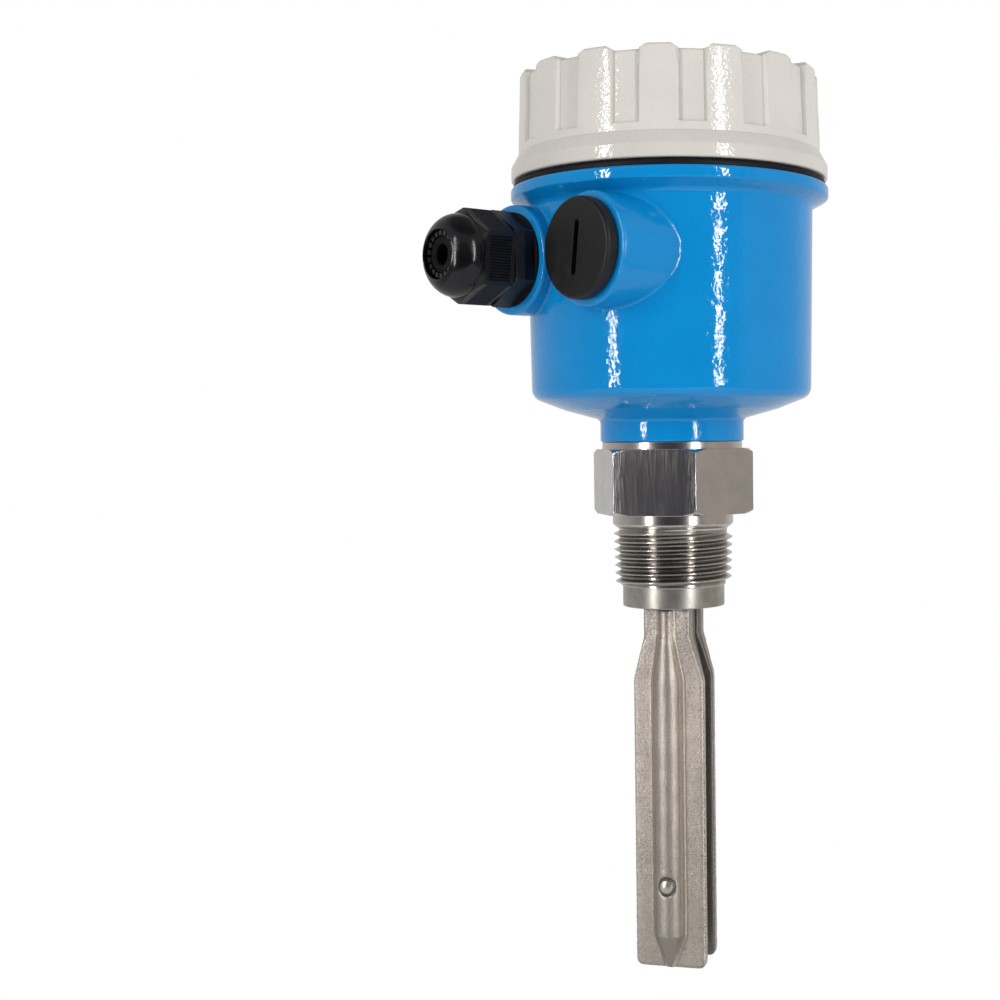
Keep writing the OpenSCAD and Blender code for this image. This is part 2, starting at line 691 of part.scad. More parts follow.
// Half-round rib on the outer face of a tine, thin at the root and pointed at the end
module tine_rib() {
    root_y = root_gap / 2 + root_t;
    paddle_y = tine_gap / 2 + tine_t;
    tip_z = tine_end + rib_tip_gap;
    cone_z = tip_z + rib_tip_l;
    lean = atan((root_y - paddle_y) / flare_l);
    translate([0, root_y - 0.6, flare_top]) cylinder(r = rib_root_r, h = collar_end - flare_top);
    translate([0, paddle_y, flare_end]) rotate([-lean, 0, 0]) translate([0, 0, -0.1])
        cylinder(r1 = rib_r, r2 = rib_root_r, h = flare_l / cos(lean) + 0.2);
    translate([0, paddle_y, cone_z]) cylinder(r = rib_r, h = flare_end - cone_z + eps);
    translate([0, paddle_y, tip_z]) cylinder(r1 = rib_tip_r, r2 = rib_r, h = rib_tip_l);
}

module tine() {
    difference() {
        union() {
            intersection() {
                rotate([90, 0, 0]) translate([0, 0, -30]) linear_extrude(60) tine_front();
                rotate([90, 0, 90]) translate([0, 0, -30]) linear_extrude(60) tine_side();
            }
            // The rib shows on the outer side only
            intersection() {
                tine_rib();
                translate([-rib_r - 1, tine_gap / 2 + tine_t / 2, tine_end])
                    cube([2 * rib_r + 2, 20, collar_end - tine_end - 0.4]);
            }
        }
        translate([0, tine_gap / 2 + tine_t + rib_r - 1.3, tine_end + tine_plug_z]) rotate([-90, 0, 0]) {
            cylinder(r = tine_plug_d / 2 + seat_gap, h = 4, $fn = 48);
            translate([0, 0, 0.75])
                cylinder(r1 = tine_plug_d / 2 + seat_gap, r2 = tine_plug_d / 2 + tine_plug_ring,
                h = 0.6, $fn = 48);
            translate([0, 0, 1.34]) cylinder(r = tine_plug_d / 2 + tine_plug_ring, h = 3, $fn = 48);
        }
    }
}

module fork() {
    color([0.62, 0.59, 0.55]) difference() {
        union() {
            translate([0, 0, diaphragm_z]) cylinder(r = fork_skirt_r, h = diaphragm_t);
            translate([0, 0, diaphragm_z])
                ring(fork_skirt_r, drive_bore_r, fork_skirt_top - diaphragm_z - seat_gap);
            cylinder_z = diaphragm_z + diaphragm_t - eps;
            translate([0, 0, cylinder_z]) cylinder(r = stud_d / 2 + 1.6, h = stud_boss_h);
            tine();
            mirror([0, 1, 0]) tine();
        }
        translate([0, 0, diaphragm_z + 0.9]) cylinder(r = stud_d / 2 + seat_gap, h = 20);
    }
}

module tine_plugs() {
    r = tine_plug_d / 2;
    color([0.70, 0.68, 0.64]) for (side = [0, 1]) mirror([0, side, 0])
        translate([0, tine_gap / 2 + tine_t + rib_r - 1.3 + seat_gap, tine_end + tine_plug_z])
        rotate([-90, 0, 0])
        rotate_extrude($fn = 48)
            polygon(concat([[0, 0], [r, 0]], arc(0, 0.75 - r * 1.1, r * 1.487, 47.7, 90, 6)));
}

module drive_stud() {
    color([0.6, 0.6, 0.6]) translate([0, 0, diaphragm_z + 0.9 + seat_gap])
        cylinder(r = stud_d / 2, h = stack_nut_z + stack_nut_h + 1.2 - diaphragm_z - 0.9);
}

module piezo_discs() {
    color([0.84, 0.80, 0.66]) for (i = [0:piezo_count - 1])
        translate([0, 0, electrode_z + electrode_t + i * piezo_step])
        ring(piezo_d / 2, stud_d / 2 + seat_gap, piezo_t);
}

// Electrode plates, each with a solder tab. The tabs alternate between the two leads.
module electrode_plates() {
    color([0.85, 0.66, 0.30]) for (i = [0:piezo_count])
        translate([0, 0, electrode_z + i * piezo_step]) difference() {
        union() {
            cylinder(r = piezo_d / 2, h = electrode_t);
            rotate(i % 2 == 0 ? 0 : 180) translate([0, -tab_w / 2, 0])
                cube([lead_ring - lead_r, tab_w, electrode_t]);
        }
        translate([0, 0, -1]) cylinder(r = stud_d / 2 + seat_gap, h = electrode_t + 2);
    }
}

module insulator_rings() {
    color([0.93, 0.92, 0.88]) for (z = [stack_z, upper_insulator_z])
        translate([0, 0, z]) ring(piezo_d / 2 + 0.1, stud_d / 2 + seat_gap, insulator_t);
}

module clamp_disc() {
    color([0.62, 0.62, 0.62]) translate([0, 0, clamp_z]) difference() {
        union() {
            cylinder(r = piezo_d / 2 - 0.3, h = clamp_t * 0.6);
            translate([0, 0, clamp_t * 0.6])
                cylinder(r1 = piezo_d / 2 - 0.3, r2 = stud_d / 2 + 2.6, h = clamp_t * 0.4);
        }
        translate([0, 0, -1]) cylinder(r = stud_d / 2 + seat_gap, h = clamp_t + 2);
    }
}

module stack_nut() {
    color([0.7, 0.7, 0.7]) translate([0, 0, stack_nut_z]) difference() {
        chamfered_hex(stud_d * 1.66, stack_nut_h, 1);
        translate([0, 0, -1]) cylinder(r = stud_d / 2 + seat_gap, h = stack_nut_h + 2);
    }
}

module rod(a, b, r) {
    v = b - a;
    translate(a) rotate([0, acos(v[2] / norm(v)), atan2(v[1], v[0])]) cylinder(r = r, h = norm(v), $fn = 24);
}

// Two leads from the electrodes up through the connector to the circuit board
module sensor_leads() {
    low = electrode_z;
    bend = drive_bore_top - 6;
    for (side = [-1, 1]) color(side < 0 ? [0.75, 0.1, 0.1] : [0.1, 0.1, 0.1]) {
        a = [side * lead_ring, 0, low];
        b = [side * lead_ring, 0, bend];
        c = [side * lead_inner, 0, drive_bore_top - 1];
        d = [side * lead_inner, 0, board_z];
        rod(a, b, lead_r);
        rod(b, c, lead_r);
        rod(c, d, lead_r);
        for (p = [b, c]) translate(p) sphere(r = lead_r + 0.06, $fn = 24);
    }
}

module neck_seal() {
    color([0.06, 0.06, 0.06]) translate([0, 0, ring_top + fixing_h / 2]) rotate_extrude()
        translate([fixing_r - 1.05 - seat_gap, 0]) circle(r = 1, $fn = 32);
}

module neck_washer() {
    color([0.72, 0.72, 0.70]) translate([0, 0, floor_z]) ring(stem_r + 6, stem_r + seat_gap, neck_washer_t);
}

module neck_nut() {
    color([0.74, 0.73, 0.71]) translate([0, 0, floor_z + neck_washer_t]) difference() {
        chamfered_hex(stem_r * 2 + 9, neck_nut_h, 3, true, false);
        translate([0, 0, -1]) cylinder(r = stem_r + seat_gap, h = neck_nut_h + 2);
    }
}

// Moulded cup, open below, notched for the earth post and with a tube for each screw
module electronics_cup() {
    r = cup_d / 2;
    color([0.16, 0.17, 0.19]) electronics_frame() difference() {
        union() {
            difference() {
                translate([0, 0, cup_z]) cylinder(r = r, h = cup_h);
                translate([0, 0, cup_z - 1]) cylinder(r = r - cup_wall, h = cup_h + 1 - 2);
            }
            for (side = [-1, 1]) translate([side * cup_screw_x, cup_screw_y, cup_z + 2])
                cylinder(r = pillar_r, h = cup_h - 2);
            intersection() {
                translate([-earth_w / 2 - 0.6 - cup_wall, earth_y - earth_w / 2 - 0.6 - cup_wall, cup_z])
                    cube([earth_w + 1.2 + 2 * cup_wall, earth_w * 2, cup_h]);
                translate([0, 0, cup_z]) cylinder(r = r, h = cup_h);
            }
        }
        translate([-earth_w / 2 - 0.6, earth_y - earth_w / 2 - 0.6, cup_z - 1])
            cube([earth_w + 1.2, earth_w * 2, cup_h + 2]);
        for (side = [-1, 1]) translate([side * cup_screw_x, cup_screw_y, cup_z - 1]) {
            cylinder(r = cup_screw_r + 0.2, h = cup_h + 2, $fn = 32);
            translate([0, 0, cup_h - 1]) cylinder(r = 2.9, h = 4, $fn = 48);
        }
    }
}

module circuit_board() {
    hole = pillar_r + 0.4;
    color([0.05, 0.35, 0.18]) electronics_frame() difference() {
        translate([0, 0, board_z]) cylinder(r = cup_d / 2 - cup_wall - 0.5, h = board_t);
        for (side = [-1, 1])
            translate([side * cup_screw_x, cup_screw_y, board_z - 1]) cylinder(r = hole, h = 4);
        translate([-earth_w / 2 - cup_wall - 1.2, earth_y - earth_w / 2 - cup_wall - 1.2, board_z - 1])
            cube([earth_w + 2 * cup_wall + 2.4, 30, 4]);
    }
}

module relay() {
    color([0.85, 0.45, 0.10]) electronics_frame() translate([-relay_x, relay_y, board_top])
        cube(relay_size);
}

module transformer() {
    color([0.25, 0.22, 0.20]) electronics_frame() translate([coil_x, coil_y, board_top]) {
        cube([coil_w, coil_l, coil_h]);
        translate([coil_step, coil_step, coil_h])
            cube([coil_w - 2 * coil_step, coil_l - 2 * coil_step, coil_h]);
        translate([0, 0, 2 * coil_h]) cube([coil_w, coil_l, coil_h]);
    }
}

module capacitors() {
    color([0.12, 0.14, 0.30]) electronics_frame() for (i = [0, 1], k = [0, 1])
        translate([can_x + i * can_pitch, k * can_pitch - can_pitch / 4, board_top])
        cylinder(r = can_r, h = can_h, $fn = 48);
}

// Terminal block with a wire funnel and a screw well for each way
module terminal_block() {
    y0 = block_y - terminal_depth / 2;
    color([0.10, 0.45, 0.28]) electronics_frame() translate([0, 0, cup_top]) difference() {
        translate([-block_w / 2 - 1, y0, 0]) union() {
            cube([block_w + 2, terminal_depth, terminal_h - 2]);
            translate([0, 3, 0]) cube([block_w + 2, terminal_depth - 3, terminal_h]);
        }
        for (i = [0:terminal_count - 1]) translate([(i - (terminal_count - 1) / 2) * terminal_pitch, 0, 0]) {
            translate([-terminal_pitch * 0.32, y0 - 1, 1.4])
                cube([terminal_pitch * 0.64, 8, terminal_h * 0.42]);
            translate([0, block_y + 0.6, 1.4]) cylinder(r = terminal_screw_r + 0.6, h = terminal_h, $fn = 48);
        }
    }
}

module terminal_screws() {
    color([0.78, 0.76, 0.70]) electronics_frame() for (i = [0:terminal_count - 1])
        translate([(i - (terminal_count - 1) / 2) * terminal_pitch, block_y + 0.6,
            cup_top + terminal_h - 2.6])
        slotted_screw(1.3, terminal_h * 0.42, terminal_screw_r + 0.4, 1.6);
}

module terminal_clamps() {
    w = terminal_pitch * 0.5;
    color([0.80, 0.72, 0.45]) electronics_frame() for (i = [0:terminal_count - 1])
        translate([(i - (terminal_count - 1) / 2) * terminal_pitch - w / 2, block_y - 5, cup_top + 1.45])
        cube([w, 4.5, 1]);
}

module cup_screws() {
    color([0.75, 0.74, 0.72]) electronics_frame() for (side = [-1, 1])
        translate([side * cup_screw_x, cup_screw_y, cup_top - 2])
        slotted_screw(cup_screw_r - seat_gap, cup_h - 1, 2.7, 1.7);
}

module switch_case() {
    slot_l = slider_l + slider_travel + 0.4;
    color([0.70, 0.12, 0.10]) electronics_frame()
        translate([switch_x - switch_w / 2, switch_y - switch_l / 2, cup_top])
    difference() {
        cube([switch_w, switch_l, switch_h]);
        for (i = [-1, 1]) translate([switch_w / 2 + i * slider_pitch / 2 - slider_w / 2 - 0.2,
            (switch_l - slot_l) / 2, switch_h - 1.2]) cube([slider_w + 0.4, slot_l, 3]);
    }
}

// Slider of one switch, at the end of its slot that is nearer the entries
module slider(side) {
    slot_l = slider_l + slider_travel + 0.4;
    color([0.95, 0.95, 0.93]) electronics_frame()
        translate([switch_x + side * slider_pitch / 2 - slider_w / 2,
        switch_y - slot_l / 2 + 0.2, cup_top + switch_h - 1.1]) cube([slider_w, slider_l, 1.1 + slider_h]);
}

module mode_slider() {
    slider(-1);
}

module density_slider() {
    slider(1);
}

// Round signal lamp with a domed end, standing on the cup
module lamp(i) {
    electronics_frame() translate([lamp_x - i * lamp_pitch, lamp_y, cup_top]) rotate_extrude($fn = 48)
        polygon(concat([[0, 0], [lamp_r + 0.4, 0], [lamp_r + 0.4, 0.8], [lamp_r, 0.8]],
        arc(0, 2, lamp_r, 0, 90, 6)));
}

module green_lamp() {
    color([0.25, 0.75, 0.30]) lamp(0);
}

module amber_lamp() {
    color([0.95, 0.60, 0.15]) lamp(1);
}

module earth_screw() {
    color([0.75, 0.70, 0.55]) electronics_frame() translate([0, earth_y, cup_top + 1 + 1.3])
        slotted_screw(earth_screw_r - seat_gap, 7, 3.6, 2.2);
}

// Cupped clamp washer of the earth terminal, with two turned-down ears
module earth_clamp() {
    color([0.72, 0.72, 0.70]) electronics_frame() translate([0, earth_y, cup_top + 1]) difference() {
        union() {
            translate([-4.4, -4, 0]) cube([8.8, 7.6, 1.3]);
        }
        translate([-2.9, -5, -1]) cube([5.8, 1.8, 4]);
        translate([0, 0, -1]) cylinder(r = earth_screw_r + 0.2, h = 4, $fn = 32);
    }
}

housing();
cover();
cover_seal();
gland_body();
gland_washer();
gland_cage();
gland_sleeve();
gland_nut();
blind_plug();
plug_washer();
process_connector();
fork();
tine_plugs();
drive_stud();
piezo_discs();
electrode_plates();
insulator_rings();
clamp_disc();
stack_nut();
sensor_leads();
neck_seal();
neck_washer();
neck_nut();
electronics_cup();
circuit_board();
relay();
transformer();
capacitors();
terminal_block();
terminal_screws();
terminal_clamps();
cup_screws();
switch_case();
mode_slider();
density_slider();
green_lamp();
amber_lamp();
earth_screw();
earth_clamp();
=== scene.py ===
import json
from math import atan2, cos, degrees, pi, radians, sin, sqrt, tan

import bmesh
import bpy
from mathutils import Matrix, Vector, noise


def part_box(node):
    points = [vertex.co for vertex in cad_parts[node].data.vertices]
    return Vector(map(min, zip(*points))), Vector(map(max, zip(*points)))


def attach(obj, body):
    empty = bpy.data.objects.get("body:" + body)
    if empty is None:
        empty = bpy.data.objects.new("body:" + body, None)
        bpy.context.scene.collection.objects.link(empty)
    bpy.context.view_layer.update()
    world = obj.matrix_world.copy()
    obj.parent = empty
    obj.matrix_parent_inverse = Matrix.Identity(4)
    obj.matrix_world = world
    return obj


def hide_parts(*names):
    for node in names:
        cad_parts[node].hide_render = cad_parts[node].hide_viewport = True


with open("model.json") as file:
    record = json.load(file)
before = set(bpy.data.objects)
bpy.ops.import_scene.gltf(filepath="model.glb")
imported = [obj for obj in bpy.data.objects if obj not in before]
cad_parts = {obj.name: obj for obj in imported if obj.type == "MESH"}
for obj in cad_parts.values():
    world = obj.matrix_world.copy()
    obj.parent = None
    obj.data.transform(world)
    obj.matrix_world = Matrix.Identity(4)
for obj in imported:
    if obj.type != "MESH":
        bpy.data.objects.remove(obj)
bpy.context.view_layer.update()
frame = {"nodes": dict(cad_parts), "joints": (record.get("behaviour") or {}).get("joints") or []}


# Housing: die-cast aluminium under sky-blue powder coat, with a flared rim, a conical
# bottom and two round bosses for the cable entries, which meet the wall in a small fillet.
# The cover screws on the spigot at its top; the connector's stem stands in its neck.

# A millimetre in metres: sizes are in millimetres, and meshes in metres
MM = 0.001


class Wire:
    """The output of a shader node, so that sums on it can be written as sums."""

    def __init__(self, finish, socket):
        self.finish = finish
        self.socket = socket

    def join(self, operation, first, second):
        return self.finish.node("ShaderNodeMath", {"operation": operation}, {0: first, 1: second})

    def __add__(self, other):
        return self.join("ADD", self, other)

    def __sub__(self, other):
        return self.join("SUBTRACT", self, other)

    def __mul__(self, other):
        return self.join("MULTIPLY", self, other)

    def __rsub__(self, other):
        return self.join("SUBTRACT", other, self)

    __radd__ = __add__
    __rmul__ = __mul__

    def line(self, low, high):
        """0 at the height low, 1 at the height high, in millimetres, and straight from one to the other."""
        return self.finish.node("ShaderNodeMapRange", {},
                                {"Value": self, "From Min": low * MM, "From Max": high * MM})

    def between(self, low, high):
        """0 below low, 1 above high, and a soft step from one to the other."""
        return self.finish.node("ShaderNodeMapRange", {"interpolation_type": "SMOOTHSTEP"},
                                {"Value": self, "From Min": low, "From Max": high})

    def step(self, low, high):
        """The same soft step between two lengths in millimetres."""
        return self.between(low * MM, high * MM)

    def unsigned(self):
        """The value without its sign."""
        return self.join("ABSOLUTE", self, 0)

    def stripe(self, middle, inner, outer):
        """1 up to the length inner from the middle, and 0 past outer, in millimetres."""
        return 1 - (self - middle * MM).unsigned().step(inner, outer)


class Finish:
    """A material with one surface shader. Every other node comes from node()."""

    def __init__(self, name, color, roughness, **constants):
        self.material = bpy.data.materials.new(name)
        self.material.use_nodes = True
        self.material.diffuse_color = (*color, 1)
        self.tree = self.material.node_tree
        self.surface = self.tree.nodes["Principled BSDF"]
        self.set("Base Color", (*color, 1))
        self.set("Roughness", roughness)
        for socket, value in constants.items():
            self.set(socket.replace("_", " "), value)
        self.place = self.node("ShaderNodeTexCoord", output="Object")

    def set(self, socket, value):
        self.feed(self.surface.inputs[socket], value)

    def feed(self, socket, value):
        if isinstance(value, Wire):
            self.tree.links.new(value.socket, socket)
        else:
            socket.default_value = value

    def node(self, kind, settings=None, sockets=None, output=0):
        """A new node with its settings, then its sockets' values or links, and one of its outputs.
        The setting stops is a ramp's list of places and colours."""
        made = self.tree.nodes.new(kind)
        for name, value in (settings or {}).items():
            if name == "stops":
                stops = made.color_ramp.elements
                while len(stops) < len(value):
                    stops.new(0.5)
                for stop, (place, color) in zip(stops, value):
                    stop.position = place
                    stop.color = color
            else:
                setattr(made, name, value)
        for name, value in (sockets or {}).items():
            self.feed(made.inputs[name], value)
        return Wire(self, made.outputs[output])

    def axis(self, number):
        """One of the object coordinates, in metres."""
        return self.node("ShaderNodeSeparateXYZ", {}, {0: self.place}, output=number)

    def along(self, way):
        """How far out a point lies along a direction, in metres."""
        return self.node("ShaderNodeVectorMath", {"operation": "DOT_PRODUCT"},
                         {0: self.place, 1: tuple(way)}, output=1)

    def noise(self, size, detail=2.0, stretch=(1, 1, 1), rough=0.5):
        """Noise with grains of the given size in millimetres, longer along an axis by stretch."""
        place = self.node("ShaderNodeMapping", {"vector_type": "TEXTURE"},
                          {"Vector": self.place, "Scale": stretch})
        return self.node("ShaderNodeTexNoise", {"noise_type": "FBM", "normalize": True},
                         {"Vector": place, "Scale": 1 / (size * MM), "Detail": detail, "Roughness": rough})

    def mix(self, share, first, second):
        """A colour between two colours."""
        return self.node("ShaderNodeMix", {"data_type": "RGBA"},
                         {"Factor": share, 6: self.paint(first), 7: self.paint(second)}, output=2)

    def paint(self, color):
        return color if isinstance(color, Wire) else (*color, 1)

    def bump(self, height, depth, under=None):
        """A relief of the given depth in millimetres, on top of another where one is given."""
        sockets = {"Height": height, "Distance": depth * MM, "Strength": 1.0}
        if under:
            sockets["Normal"] = under
        return self.node("ShaderNodeBump", {}, sockets)


def linear(red, green, blue):
    """A colour as it is read off a screen, 0 to 255, as the shader's own values."""
    return tuple(v / 12.92 if v <= 0.04045 else ((v + 0.055) / 1.055) ** 2.4
                 for v in (red / 255, green / 255, blue / 255))


def coat(name, color, peel, peel_depth, roughness, gloss=0.5, shade_and_wear=None):
    """Powder coat: even colour with faint clouds, small pin holes, and orange peel in the gloss.
    Its last argument gives the share darkened with painted shade and the share that a thick, dull coat
    covers."""
    made = Finish(name, color, roughness, IOR=1.46, Specular_IOR_Level=gloss)
    clouds = made.noise(14, 2)
    specks = made.noise(0.55, 1).between(0.74, 0.8)
    deep = tuple(0.95 * c for c in color)
    pale = tuple(min(1, 1.03 * c + 0.001) for c in color)
    tone = made.mix(clouds.between(0.3, 0.7) * 0.6 + made.noise(0.8, 2).between(0.3, 0.7) * 0.4, deep, pale)
    painted_shade, dull = shade_and_wear(made) if shade_and_wear else (0, 0)
    # Painted shade darkens the colour by its share.
    tone = made.mix(painted_shade, tone, tuple(0.35 * c for c in color))
    made.set("Base Color", made.mix(specks * 0.35, tone, tuple(0.5 * c for c in color)))
    waves = made.noise(peel, 1.5, rough=0.45)
    ripples = made.noise(peel * 0.28, 1.0)
    made.set("Roughness", roughness + made.noise(1.5, 2) * 0.04 + specks * 0.3 + dull * 0.4)
    made.set("Normal", made.bump(waves + ripples * 0.10 - specks * 0.12, peel_depth))
    return made.material


def rounded(corners, steps=5):
    """Points of an outline whose corners (radius, height, fillet) in millimetres are rounded off."""
    points = []
    count = len(corners)
    for i, (r, z, fillet) in enumerate(corners):
        here = Vector((r, z))
        if not fillet:
            points.append(here)
            continue
        back = Vector(corners[i - 1][:2]) - here
        on = Vector(corners[(i + 1) % count][:2]) - here
        angle = back.angle(on)
        reach = fillet / tan(angle / 2)
        start = here + back.normalized() * reach
        centre = here + (back.normalized() + on.normalized()).normalized() * fillet / sin(angle / 2)
        first = start - centre
        sweep = (pi - angle) * (1 if back.cross(on) < 0 else -1)
        for k in range(steps + 1):
            part = sweep * k / steps
            points.append(centre + Vector((first.x * cos(part) - first.y * sin(part),
                                           first.x * sin(part) + first.y * cos(part))))
    return points


def spun(outline, steps=192):
    """A bmesh turned from a closed outline of (radius, height) in millimetres about the vertical."""
    near = 1e-7
    shape = bmesh.new()
    row = [shape.verts.new((p[0] * MM, 0, p[1] * MM)) for p in outline]
    sides = [shape.edges.new((a, b)) for a, b in zip(row, row[1:] + row[:1])
             if a.co.x > near or b.co.x > near]
    bmesh.ops.spin(shape, geom=row + sides, axis=(0, 0, 1), cent=(0, 0, 0), angle=2 * pi,
                   steps=steps, use_merge=True)
    bmesh.ops.remove_doubles(shape, verts=shape.verts, dist=near)
    bmesh.ops.recalc_face_normals(shape, faces=shape.faces)
    return shape


def placed(name, shape, material, body, replaced=(), sharp=38, flats=False):
    """Turns a bmesh into a finished piece: smooth, with edges sharper than the given angle kept.
    flats keeps wide faces flat and lets only the narrow ones beside them shade round."""
    for face in shape.faces:
        face.smooth = True
    for edge in shape.edges:
        edge.smooth = len(edge.link_faces) == 2 and edge.calc_face_angle(0) < radians(sharp)
    mesh = bpy.data.meshes.new(name)
    shape.to_mesh(mesh)
    shape.free()
    piece = bpy.data.objects.new(name, mesh)
    bpy.context.scene.collection.objects.link(piece)
    mesh.materials.append(material)
    if flats:
        even = piece.modifiers.new("even", "WEIGHTED_NORMAL")
        even.keep_sharp = True
        even.weight = 100
    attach(piece, body)
    if replaced:
        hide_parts(*replaced)


def after_modifier(shape, kind, **settings):
    """The bmesh after one modifier, applied."""
    mesh = bpy.data.meshes.new("work")
    shape.to_mesh(mesh)
    shape.free()
    work = bpy.data.objects.new("work", mesh)
    bpy.context.scene.collection.objects.link(work)
    modifier = work.modifiers.new("step", kind)
    for key, value in settings.items():
        setattr(modifier, key, value)
    made = bmesh.new()
    made.from_object(work, bpy.context.evaluated_depsgraph_get())
    bpy.data.objects.remove(work)
    bpy.data.meshes.remove(mesh)
    return made


def cut(shape, tools, operation="DIFFERENCE"):
    """The bmesh cut by, or kept inside, each of the tools."""
    for tool in tools:
        mesh = bpy.data.meshes.new("tool")
        tool.to_mesh(mesh)
        tool.free()
        cutter = bpy.data.objects.new("tool", mesh)
        bpy.context.scene.collection.objects.link(cutter)
        shape = after_modifier(shape, "BOOLEAN", object=cutter, operation=operation, solver="EXACT")
        bpy.data.objects.remove(cutter)
        bpy.data.meshes.remove(mesh)
    return shape


def add(shape, other):
    """Joins another bmesh into this one."""
    mesh = bpy.data.meshes.new("part")
    other.to_mesh(mesh)
    other.free()
    shape.from_mesh(mesh)
    bpy.data.meshes.remove(mesh)


def joint(name):
    """A joint of the frame."""
    return next(j for j in frame["joints"] if j["name"] == name)


def entry_place(side_joint):
    """The frame of a cable entry: Z out along it, Y up, and the origin square to the housing's axis."""
    out = Vector(joint(side_joint)["axis"]).normalized()
    across = Vector((-out.y, out.x, 0))
    point = Vector(joint(side_joint)["pos_m"])
    origin = point - out * point.dot(out)
    return Matrix(((across.x, 0, out.x, origin.x), (across.y, 0, out.y, origin.y),
                   (0, 1, 0, origin.z), (0, 0, 0, 1)))


PLUG_ENTRY = entry_place("plug_unscrew")
GLAND_ENTRY = entry_place("nut_unscrew")

blue = coat("sky_blue_powder_coat", linear(5, 121, 183), 1.6, 0.105, 0.05, 0.45)

neck_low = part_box("housing")[0].z / MM
spigot_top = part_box("housing")[1].z / MM
seal_low, seal_high = (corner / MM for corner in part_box("cover_seal"))
chamber_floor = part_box("neck_washer")[0].z / MM
neck_r, neck_h, shoulder_w, shoulder_h = 20.05, 6.2, 9.5, 2.6
stem_r, fixing_r, fixing_h = 12.05, 16.0, 10.0
body_r, body_top_r, chamber_r, floor_t = 38.9, 39.6, 34.5, 3.6
spigot_r, spigot_h, mouth_edge = 38.0, 10.9, 1.4
rim_drop, rim_flare, rim_edge, rim_past_seal = 16.5, 2.4, 0.9, 0.8
groove_gap, groove_sink = 0.3, 0.05
neck_top, fixing_top = neck_low + neck_h, neck_low + fixing_h
wall_z = chamber_floor - floor_t
rim_z, rim_top = spigot_top - rim_drop, spigot_top - spigot_h
rim_r = seal_high.x + rim_past_seal
groove_r = seal_high.x - (seal_high.z - seal_low.z) - groove_gap
groove_z = seal_low.z - groove_sink

# Radius, height and fillet of each corner, up the outside and down the inside
shell = spun(rounded([
    (fixing_r, neck_low, 0), (neck_r, neck_low, 0.5), (neck_r, neck_top, 1.4),
    (neck_r + shoulder_w, neck_top + shoulder_h, 9), (body_r, wall_z - 1.2, 3.4), (body_top_r, rim_z, 2.2),
    (rim_r, rim_z + rim_flare, 0.8), (rim_r, rim_top - 0.4, 1.0), (rim_r - rim_edge, rim_top, 0.3),
    (rim_r - rim_edge, groove_z, 0.2), (groove_r, groove_z, 0.2), (groove_r, rim_top, 0.3),
    (spigot_r, rim_top, 0.3), (spigot_r, spigot_top, 0.9), (chamber_r + mouth_edge, spigot_top, 0),
    (chamber_r, spigot_top - mouth_edge, 0), (chamber_r, chamber_floor, 1.5), (stem_r, chamber_floor, 0.3),
    (stem_r, fixing_top, 0), (fixing_r, fixing_top, 0)]), 256)

boss_r, boss_face, bore_r, fillet = 14.7, 43.0, 10.0, 0.75
bore_edge, sunk, fillet_steps = 0.4, 2.5, 10
# How far in and down each point of the rounded edge of a boss lies
boss_edge = ((0.9, 0), (0.42, 0.12), (0.12, 0.42), (0, 0.9))


def wall_reach(place, across, up):
    """How far out along an entry the housing's wall lies, at a place in the entry's own frame."""
    z = place.translation.z / MM + up
    radius = body_r + (z - wall_z) * (body_top_r - body_r) / (rim_z - wall_z)
    offset = across + place.col[0].xyz.dot(place.translation) / MM
    return sqrt(max(radius * radius - offset * offset, 1))


def boss(place):
    """A boss drawn ring by ring: up the bore, over the face, down the side and out into the wall."""
    shape = bmesh.new()
    ring = bmesh.ops.create_circle(shape, segments=128, radius=1, cap_ends=False)["verts"]
    around = [v.co.xy.normalized() for v in ring]
    # Each ring's radius, and its height out along the entry or its lift from the wall
    courses = [(bore_r, None, -sunk), (bore_r, boss_face - bore_edge, None),
               (bore_r + bore_edge, boss_face, None)]
    courses += [(boss_r - inwards, boss_face - down, None) for inwards, down in boss_edge]
    for k in range(fillet_steps + 1):
        bend = pi / 2 * k / fillet_steps
        tuck = 0.03 if k == fillet_steps else 0
        courses.append((boss_r + fillet * (1 - cos(bend)), None, fillet * (1 - sin(bend)) - tuck))
    courses.append((boss_r + fillet, None, -sunk))
    first = list(ring)
    for n, (radius, height, lift) in enumerate(courses):
        if n:
            grown = bmesh.ops.extrude_edge_only(shape, edges=loop)["geom"]
            ring = [v for v in grown if isinstance(v, bmesh.types.BMVert)]
            around = [v.co.xy.normalized() for v in ring]
            loop = [e for e in grown if isinstance(e, bmesh.types.BMEdge)
                    and all(v in set(ring) for v in e.verts)]
        else:
            loop = list(shape.edges)
        for vert, way in zip(ring, around):
            at = way * radius
            out = height if height is not None else wall_reach(place, at.x, at.y) + lift
            if height is None and radius == boss_r:
                out = min(out, boss_face - boss_edge[-1][1])
            vert.co = Vector((at.x, at.y, out)) * MM
    inner = [e for e in shape.edges if all(v in set(first) for v in e.verts)]
    bmesh.ops.bridge_loops(shape, edges=inner + loop)
    bmesh.ops.recalc_face_normals(shape, faces=shape.faces)
    shape.transform(place)
    return shape


def disc(radius, low, high, place, segments=96):
    """A plain cylinder between two heights, in millimetres, moved to its place."""
    shape = bmesh.new()
    bmesh.ops.create_cone(shape, cap_ends=True, segments=segments, radius1=radius * MM, radius2=radius * MM,
                          depth=(high - low) * MM,
                          matrix=Matrix.Translation((0, 0, (low + high) / 2 * MM)))
    shape.transform(place)
    return shape


drill_from, drill_gap = 28, 0.2
entries = PLUG_ENTRY, GLAND_ENTRY
shell = cut(shell, [disc(bore_r + drill_gap, drill_from, boss_face, place) for place in entries])
for place in entries:
    add(shell, boss(place))

